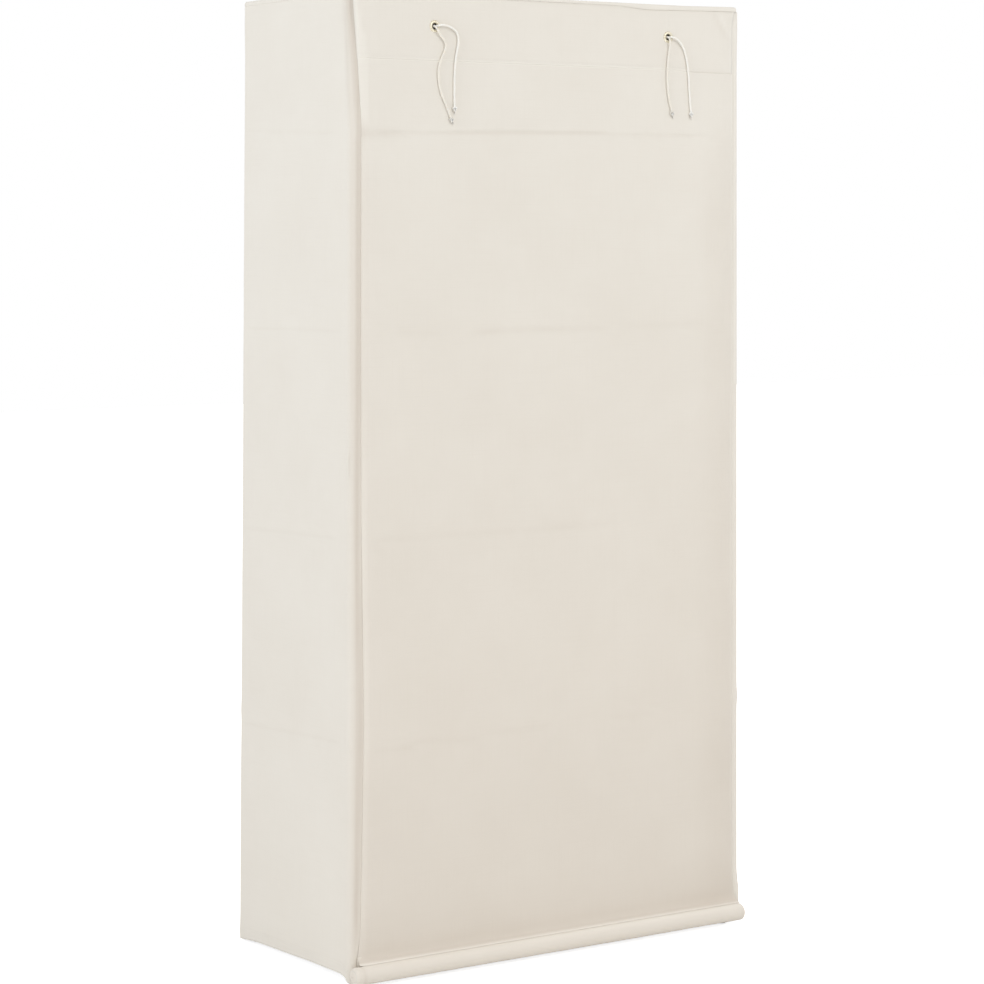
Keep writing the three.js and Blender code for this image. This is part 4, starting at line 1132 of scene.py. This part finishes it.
def hem_tuck():
    """The doubled strip behind the curtain's foot that carries the hem sleeve."""
    high = TUCK[1].z
    hug = HEM_RADIUS + 0.4 * MM
    face, gap = FRONT + 3.1 * MM, 0.7 * MM
    first = math.asin((face - HEM_Y) / hug)
    arc = [(HEM_Y + hug * math.sin(a), HEM_Z + hug * math.cos(a)) for a in np.linspace(1.12, first + 0.04, 6)]
    rise = np.linspace(arc[-1][1] + 1.5 * MM, high, 7)
    front = arc + [(face, z) for z in rise]
    bend = np.linspace(0.35, math.pi - 0.35, 5)
    over = [(face + gap * (1 - math.cos(t)), high + 0.9 * MM * math.sin(t)) for t in bend]
    behind = [(face + 2 * gap, z) for z in rise[::-1][:-1]]
    section = np.array([*front, *over, *behind])
    x = np.tile(np.linspace(-TUCK_HALF, TUCK_HALF, 110), (len(section), 1))
    y = across_rows(section[:, 0], x).copy()
    z = across_rows(section[:, 1], x).copy()
    y += 0.1 * MM * waves(x, z, 41, 0.02, 0.12, 24)
    length = run_along(section)
    uv = np.stack([x, across_rows(length, x)], 2)
    piece = cloth_sheet("curtain_tuck", np.stack([x, y, z], 2), CLOTH * 0.7, uv)
    settle(piece, "curtain_foot", "cover_cloth", "curtain_hem_seam")


def hem_roll():
    """The sleeve round the hem rod: cloth wound three times, its ends gathered in over the rod's."""
    inner, turns, steps = radius("hem_rod", 1) + 0.35 * MM, 3.0, 48
    layer = (HEM_RADIUS - inner) / turns
    angles = np.arange(0, turns * TURN + 0.03, TURN / steps)
    radii = inner + layer * np.minimum(angles / TURN + 0.82, turns)
    mouth, tip = HEM_HALF - 5.5 * MM, HEM_HALF + 2.0 * MM
    dome = np.sin(np.linspace(0, 1.5, 15)[1:])
    end = mouth + (tip - mouth) * dome
    columns = np.concatenate([-end[::-1], np.linspace(-mouth, mouth, 150), end])
    x, a = np.meshgrid(columns, angles)
    r = across_rows(radii, x).copy()
    outside = smooth_step(turns - 1.25, turns - 1.0, a / TURN)
    wrinkle = 0.28 * MM * waves(x, a * 9 * MM, 51, 0.012, 0.09, 40, 1.6) - 0.10 * MM
    wrinkle += 0.35 * MM * waves(x, 0 * a, 52, 0.06, 0.4, 14)
    phase = 2.2 - turns * TURN
    under_edge = bump(np.sin((a + phase) / 2), math.sin(REST / 2), 0.12)
    r += outside * np.clip(wrinkle, -0.5 * MM, 0.35 * MM) * 0.9 * (1 - under_edge)
    past = np.clip((abs(x) - mouth) / (tip - mouth), 0, 1)
    r -= outside * 1.2 * MM * bump(x, GATHER, 2.4 * MM)
    pleats = 1 + 0.035 * np.sin(14 * a + 9 * np.sign(x)) * smooth_step(0.3, 0.9, past)
    r = r * np.sqrt(1 - past**2) * pleats
    grid = np.stack([x, HEM_Y + r * np.sin(a + phase), HEM_Z + r * np.cos(a + phase)], 2)
    last = (angles[:-1] > angles[-1] - TURN - 0.01)[:, None]
    middle = (abs(columns[:-1] + columns[1:]) / 2 < mouth)[None]
    uv = np.stack([x, a * 14 * MM], 2)
    # Shade painted over the gathered ends and in the pinch near the left end
    mark = 0.15 * smooth_step(0.3, 1.0, past) + 0.5 * bump(x, GATHER, 1.6 * MM)
    # Light painted along its upper front, towards the right
    upper = bump(np.sin((a + phase) / 2), -0.17, 0.24)
    mark -= 0.8 * upper * np.interp(x, (-0.35, -0.1, 0.1), (0.0, 0.6, 1.0))
    piece = cloth_sheet("hem_roll", grid, layer * 0.75, uv, mark, keep=last | middle)
    settle(piece, "hem_bar", "cover_cloth", "hem_sleeve")
    row = len(angles) - 4
    out = np.stack([0 * columns, np.sin(a[row] + phase), np.cos(a[row] + phase)], 1)
    line = stitches("hem_roll_stitches", grid[row, 15:-15], out[15:-15])
    settle(line, "hem_bar", "cover_cloth")


wrap_cloth()
lid_cloth()
band_cloth()
curtain_cloth()
hem_tuck()
hem_roll()

# Eyelets


def add_eyelets():
    """Pressed brass: a rolled flange in front, a barrel through the band and a flat washer behind."""
    outer, bore = radius("eyelet_left", 0), 5.2 * MM
    deep = BAND[1].y - BAND[0].y
    profile = [
        (bore, 0.3 * MM, 0), (bore + 0.35 * MM, -1.0 * MM, 0.5 * MM), (bore + 1.5 * MM, -1.75 * MM, 0.9 * MM),
        (outer - 1.4 * MM, -1.45 * MM, 0.8 * MM), (outer, -0.3 * MM, 0.5 * MM),
        (outer - 0.4 * MM, 0.05 * MM, 0),
        (bore + 0.8 * MM, -0.2 * MM, 0.3 * MM), (bore + 0.75 * MM, deep + 0.2 * MM, 0.3 * MM),
        (outer - 0.3 * MM, deep + 0.3 * MM, 0), (outer, deep + 0.7 * MM, 0.3 * MM),
        (bore + 1.6 * MM, deep + 1.3 * MM, 0.6 * MM), (bore + 0.2 * MM, deep + 1.0 * MM, 0.5 * MM),
    ]
    for side, at in EYELETS.items():
        place = (at.x, FRONT, at.z)
        ring = lathe(f"eyelet_{side}_brass", rounded_profile(profile), 64, BRASS, place, (0, 1, 0))
        settle(ring, "wardrobe", "eyelet_brass", f"eyelet_{side}")


add_eyelets()

# Frame


def frame_tube(node, axis, wall=1.0 * MM, material=FRAME_STEEL, slot="frame_steel", body="wardrobe"):
    """A drawn tube with rolled ends in place of the CAD tube."""
    low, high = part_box(node)
    middle, length = (low + high) / 2, (high - low)[axis]
    size = max((high - low)[k] for k in range(3) if k != axis) / 2
    half = length / 2
    soft = 0.4 * MM
    profile = rounded_profile(
        [
            (size - wall, -half, soft), (size, -half, soft), (size, 8 * MM - half, 0),
            (size, half - 8 * MM, 0), (size, half, soft), (size - wall, half, soft),
        ],
        3,
    )
    direction = [0.0, 0.0, 0.0]
    direction[axis] = 1.0
    piece = lathe(f"{node}_steel", profile, 40, material, middle, direction)
    return settle(piece, body, slot, node)


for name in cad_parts:
    if "_post_" in name:
        frame_tube(name, 2)
    elif name.endswith(("_rail_front", "_rail_back")) or name == "hanging_rail":
        frame_tube(name, 0)
    elif name.endswith(("_rail_left", "_rail_right")):
        frame_tube(name, 1)
frame_tube("hem_rod", 0, material=ROD_STEEL, slot="rod_steel", body="hem_bar").name = "hem_tube"


TUBE_FIT, SOCKET_WALL, RIM_WALL, BRACKET_WALL = 0.3 * MM, 2.6 * MM, 3.3 * MM, 3.2 * MM
SOCKET_REACH, RIM, HUB = 34 * MM, 4.5 * MM, 11.2 * MM
FOOT_SPIGOT, FOOT_STUB = 5 * MM, 23 * MM  # radius and length of the peg that holds a foot
GRAIN_SIZE = 1.0 * MM  # of the voxels that melt a moulding together


def joined_solid(name, solids, cuts):
    """Overlapping closed meshes melted into one moulding, then bored by the cuts."""
    bpy.ops.object.select_all(action="DESELECT")
    for piece in solids:
        piece.select_set(True)
    bpy.context.view_layer.objects.active = solids[0]
    bpy.ops.object.join()
    whole = bpy.context.view_layer.objects.active
    melt = whole.modifiers.new("melt", "REMESH")
    melt.mode, melt.voxel_size, melt.use_smooth_shade = "VOXEL", GRAIN_SIZE, True
    soften = whole.modifiers.new("soften", "SMOOTH")
    soften.factor, soften.iterations = 0.5, 5
    fewer = whole.modifiers.new("fewer", "DECIMATE")
    fewer.ratio = 0.3
    for cut in cuts:
        bore = whole.modifiers.new("bore", "BOOLEAN")
        bore.operation, bore.object, bore.solver = "DIFFERENCE", cut, "EXACT"
    graph = bpy.context.evaluated_depsgraph_get()
    mesh = bpy.data.meshes.new_from_object(whole.evaluated_get(graph))
    for piece in [whole, *cuts]:
        bpy.data.objects.remove(piece)
    mesh.name = name
    mesh.materials.clear()
    mesh.materials.append(DARK_PLASTIC)
    mesh.polygons.foreach_set("use_smooth", [True] * len(mesh.polygons))
    mesh.set_sharp_from_angle(angle=math.radians(40))
    return mesh


def cylinder(size, start, end, sides=40):
    start, end = Vector(start), Vector(end)
    length = (end - start).length
    profile = [(0.0, 0.0), (size, 0.0), (size, length), (0.0, length)]
    return lathe("bar", profile, sides, DARK_PLASTIC, start, end - start)


def socket(direction):
    """One socket of a connector: a sleeve with a thicker rim at its mouth."""
    d = Vector(direction)
    return [
        cylinder(TUBE + SOCKET_WALL, (0, 0, 0), d * SOCKET_REACH),
        cylinder(TUBE + RIM_WALL, d * (SOCKET_REACH - RIM), d * SOCKET_REACH),
    ]


def connector_mesh(name, directions, stub=0.0):
    solids = [part for d in directions for part in socket(d)]
    solids.append(cylinder(HUB, (0, 0, -HUB), (0, 0, HUB)))
    if stub:
        solids.append(cylinder(FOOT_SPIGOT, (0, 0, 0), (0, 0, -stub)))
        solids.append(cylinder(10.6 * MM, (0, 0, 0), (0, 0, -11.6 * MM)))
    bore = TUBE + TUBE_FIT
    cuts = [cylinder(bore, Vector(d) * 10 * MM, Vector(d) * 36 * MM) for d in directions]
    return joined_solid(name, solids, cuts)


def add_connectors():
    x, y, up, down = (1, 0, 0), (0, 1, 0), (0, 0, 1), (0, 0, -1)
    meshes = {
        "base": connector_mesh("base_connector", (x, y, up), FOOT_STUB),
        "shelf": connector_mesh("shelf_connector", (x, y, up, down)),
        "top": connector_mesh("top_connector", (x, y, down)),
    }
    quarter = {"front_left": 0, "front_right": 1, "back_right": 2, "back_left": 3}
    for level, height in (("base", BASE), ("shelf", SHELF), ("top", TOP)):
        for corner, turns in quarter.items():
            node = f"{level}_connector_{corner}"
            mesh = meshes[level].copy()
            at = Vector((POST_X if "right" in corner else -POST_X,
                         POST_FRONT if "front" in corner else POST_BACK, height))
            mesh.transform(Matrix.Translation(at) @ Matrix.Rotation(turns * math.pi / 2, 4, "Z"))
            settle(link_mesh(node + "_moulded", mesh), "wardrobe", "connector_plastic", node)


def add_feet():
    """Turned plastic feet with a ribbed rim."""
    for corner in ("front_left", "front_right", "back_left", "back_right"):
        node = f"foot_{corner}"
        low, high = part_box(node)
        wide, tall = (high.x - low.x) / 2, high.z
        profile = [
            (0.0, 0.0, 0), (wide - 2.6 * MM, 0.0, 0.6 * MM), (wide - 1.2 * MM, 1.6 * MM, 0.9 * MM),
            (wide - 1.0 * MM, 3.2 * MM, 0.3 * MM), (wide - 1.7 * MM, 3.7 * MM, 0.2 * MM),
            (wide - 1.2 * MM, 4.3 * MM, 0.2 * MM), (wide - 1.6 * MM, 5.2 * MM, 0.5 * MM),
            (11.0 * MM, 7.4 * MM, 0.8 * MM), (11.0 * MM, tall, 0.7 * MM),
            (5.3 * MM, tall, 0.4 * MM), (5.3 * MM, 7 * MM, 0.3 * MM), (0.0, 7 * MM, 0),
        ]
        at = centre(node)
        foot = lathe(node + "_rubber", rounded_profile(profile), 48, FOOT_PLASTIC, (at.x, at.y, 0), (0, 0, 1))
        settle(foot, "wardrobe", "foot_plastic", node)


def add_brackets():
    """A collar on the side rail with a web down to the hanging rail's cup."""
    drop = TOP - centre("hanging_rail").z
    rail = radius("hanging_rail", 1)
    middle_y = centre("hanging_rail").y
    for side, sign in (("left", 1), ("right", -1)):
        inward = Vector((sign, 0, 0))
        below = Vector((0, 0, -drop))
        solids = [
            cylinder(TUBE + BRACKET_WALL, (0, -10 * MM, 0), (0, 10 * MM, 0)),
            cylinder(rail + BRACKET_WALL, below - inward * 10 * MM, below + inward * 22 * MM),
            cylinder(rail + 3.9 * MM, below + inward * 18 * MM, below + inward * 22 * MM),
        ]
        web = cylinder(9.6 * MM, (0, 0, 0), below, 4)
        web.data.transform(Matrix.Rotation(math.pi / 4, 4, "Z"))
        web.data.transform(Matrix.Diagonal((1.32, 0.62, 1, 1)))
        solids.append(web)
        cuts = [
            cylinder(TUBE + TUBE_FIT, (0, -12 * MM, 0), (0, 12 * MM, 0)),
            cylinder(rail + TUBE_FIT, below - inward * 6 * MM, below + inward * 24 * MM),
        ]
        node = f"hanging_rail_bracket_{side}"
        mesh = joined_solid(node, solids, cuts)
        mesh.transform(Matrix.Translation((-sign * POST_X, middle_y, TOP)))
        settle(link_mesh(node + "_moulded", mesh), "wardrobe", "connector_plastic", node)


def add_rod_caps():
    """Push-in plugs that close the hem rod."""
    for side, sign in (("left", -1), ("right", 1)):
        node = f"hem_rod_cap_{side}"
        low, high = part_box(node)
        wide, length = (high.z - low.z) / 2, high.x - low.x
        flange = 2.4 * MM
        profile = [
            (0.0, -0.5 * MM, 0), (2.6 * MM, -0.5 * MM, 0.3 * MM), (3.0 * MM, 0.0, 0.3 * MM),
            (wide, 0.0, 0.8 * MM),
            (wide, flange, 0.4 * MM), (wide - 1.3 * MM, flange, 0), (wide - 1.3 * MM, length - 2 * MM, 0),
            (wide - 2.2 * MM, length, 0.5 * MM), (0.0, length, 0),
        ]
        at = (high.x if sign > 0 else low.x, HEM_Y, HEM_Z)
        cap = lathe(node + "_plug", rounded_profile(profile), 48, PALE_PLASTIC, at, (-sign, 0, 0))
        settle(cap, "hem_bar", "cap_plastic", node)


add_connectors()
add_feet()
add_brackets()
add_rod_caps()


SLEEVE_SWEEP = 1.62  # how far a shelf's sleeve goes round its rail, in half turns


def cloth_shelf(node):
    """A cloth web that sags between two rails, with a sleeve sewn round each."""
    low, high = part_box(node)
    level = centre(node).z
    around = (high.z - low.z) / 2 - 0.15 * MM
    seam = 26 * MM
    steps = np.linspace(0, 1, 30)
    front = [(POST_FRONT + around * math.sin(a), level + around * math.cos(a))
             for a in -(steps * SLEEVE_SWEEP * math.pi)[::-1]]
    back = [(POST_BACK + around * math.sin(a), level + around * math.cos(a))
            for a in steps * SLEEVE_SWEEP * math.pi]
    web = [(y, level + around) for y in np.linspace(POST_FRONT + 6 * MM, POST_BACK - 6 * MM, 42)]
    under = CLOTH * 1.35
    tongue_front = [(POST_FRONT + seam - k * 3.0 * MM, level + around - under) for k in range(5)]
    tongue_back = [(POST_BACK - seam + k * 3.0 * MM, level + around - under) for k in range(5)]
    section = np.array(tongue_front + front + web + back + tongue_back[::-1])
    columns = np.linspace(low.x, high.x, 64)
    length = run_along(section)
    x, v = np.meshgrid(columns, length)
    y = across_rows(section[:, 0], x)
    z = across_rows(section[:, 1], x).copy()
    middle = (POST_FRONT + POST_BACK) / 2
    across = np.clip(1 - ((y - middle) / (POST_BACK - middle - 24 * MM)) ** 2, 0, 1)
    top = z > level + around - 3 * under
    seed = 61 if "base" in node else 62
    z -= top * across * (5.0 * MM + 1.6 * MM * waves(x, y, seed, 0.08, 0.5, 24))
    folds, mark = add_creases(x, y, [((0.118, POST_FRONT + 0.02), (0.115, POST_BACK - 0.02), 0.9, 0.25),
                                      ((-0.121, POST_FRONT + 0.02), (-0.117, POST_BACK - 0.02), 0.9, 0.25)])
    z += top * across * folds
    grid = np.stack([x, y, z], 2)[:, ::-1]
    uv = np.stack([x, v], 2)[:, ::-1]
    piece = cloth_sheet(f"{node}_cloth", grid, CLOTH * 0.9, uv, (mark * top)[:, ::-1], SHELF_CLOTH)
    settle(piece, "wardrobe", "shelf_cloth", node)
    for end, place in (("front", POST_FRONT + seam - 6 * MM), ("back", POST_BACK - seam + 6 * MM)):
        row = len(tongue_front) + len(front) + int(np.argmin(abs(np.array([w[0] for w in web]) - place)))
        up = np.broadcast_to((0.0, 0.0, 1.0), grid[row].shape)
        line = stitches(f"{node}_stitches_{end}", grid[row], up)
        settle(line, "wardrobe", "shelf_cloth")


cloth_shelf("base_shelf")
cloth_shelf("middle_shelf")

# Stage and light


FLOOR_HALF, FLOOR_GLOW, ROOM_LIGHT = 14.0, 0.82, 0.62


def add_floor():
    n = Nodes("floor", 0.85, Base_Color=linear(244, 244, 243))
    seen = n.add("LightPath")
    shown = n.math("MAXIMUM", seen.outputs["Is Camera Ray"], seen.outputs["Is Glossy Ray"])
    shown = n.math("MAXIMUM", shown, seen.outputs["Is Transmission Ray"])
    glow = n.add("Emission", {"Color": WHITE, "Strength": n.math("MULTIPLY", shown, FLOOR_GLOW)})
    both = n.add("AddShader", {0: n.shader.outputs[0], 1: glow.outputs[0]})
    n.tree.links.new(both.outputs[0], n.tree.nodes["Material Output"].inputs["Surface"])
    corners = [(x * FLOOR_HALF, y * FLOOR_HALF, 0) for x, y in ((-1, -1), (1, -1), (1, 1), (-1, 1))]
    floor = add_piece("floor", corners, [(0, 1, 2, 3)], n.material, smooth=False)
    floor.location.z = -0.1 * MM


def add_world():
    world = bpy.data.worlds.new("world")
    bpy.context.scene.world = world
    world.use_nodes = True
    tree = world.node_tree
    background = tree.nodes["Background"]
    seen = tree.nodes.new("ShaderNodeLightPath")
    strength = tree.nodes.new("ShaderNodeMapRange")
    strength.inputs["To Min"].default_value = ROOM_LIGHT
    strength.inputs["To Max"].default_value = 1.0
    either = tree.nodes.new("ShaderNodeMath")
    either.operation = "MAXIMUM"
    tree.links.new(seen.outputs["Is Camera Ray"], either.inputs[0])
    tree.links.new(seen.outputs["Is Glossy Ray"], either.inputs[1])
    tree.links.new(either.outputs[0], strength.inputs["Value"])
    tree.links.new(strength.outputs[0], background.inputs["Strength"])
    background.inputs["Color"].default_value = WHITE


def add_lamp(name, place, aim, size, power, colour):
    data = bpy.data.lights.new(name, "AREA")
    data.shape, data.size, data.size_y = "RECTANGLE", *size
    data.energy, data.color = power, colour
    lamp = bpy.data.objects.new(name, data)
    lamp.location = place
    lamp.rotation_euler = (Vector(aim) - Vector(place)).to_track_quat("-Z", "Y").to_euler()
    bpy.context.scene.collection.objects.link(lamp)


add_floor()
add_world()
# Each lamp's name, place, the point that it looks at, size, power and colour
for lamp in (
    ("left", (-4.1, -0.5, 2.8), (-0.2, 0, 0.9), (2.2, 2.6), 60, (0.93, 0.965, 1.0)),
    ("front", (1.0, -4.3, 3.4), (0, 0, 1.0), (2.2, 2.2), 61, (1.0, 0.985, 0.96)),
    ("right", (3.6, -1.2, 3.4), (0.3, 0, 1.3), (1.6, 2.0), 14, (0.86, 0.93, 1.0)),
):
    add_lamp(*lamp)
bpy.context.scene.view_settings.view_transform = "Standard"
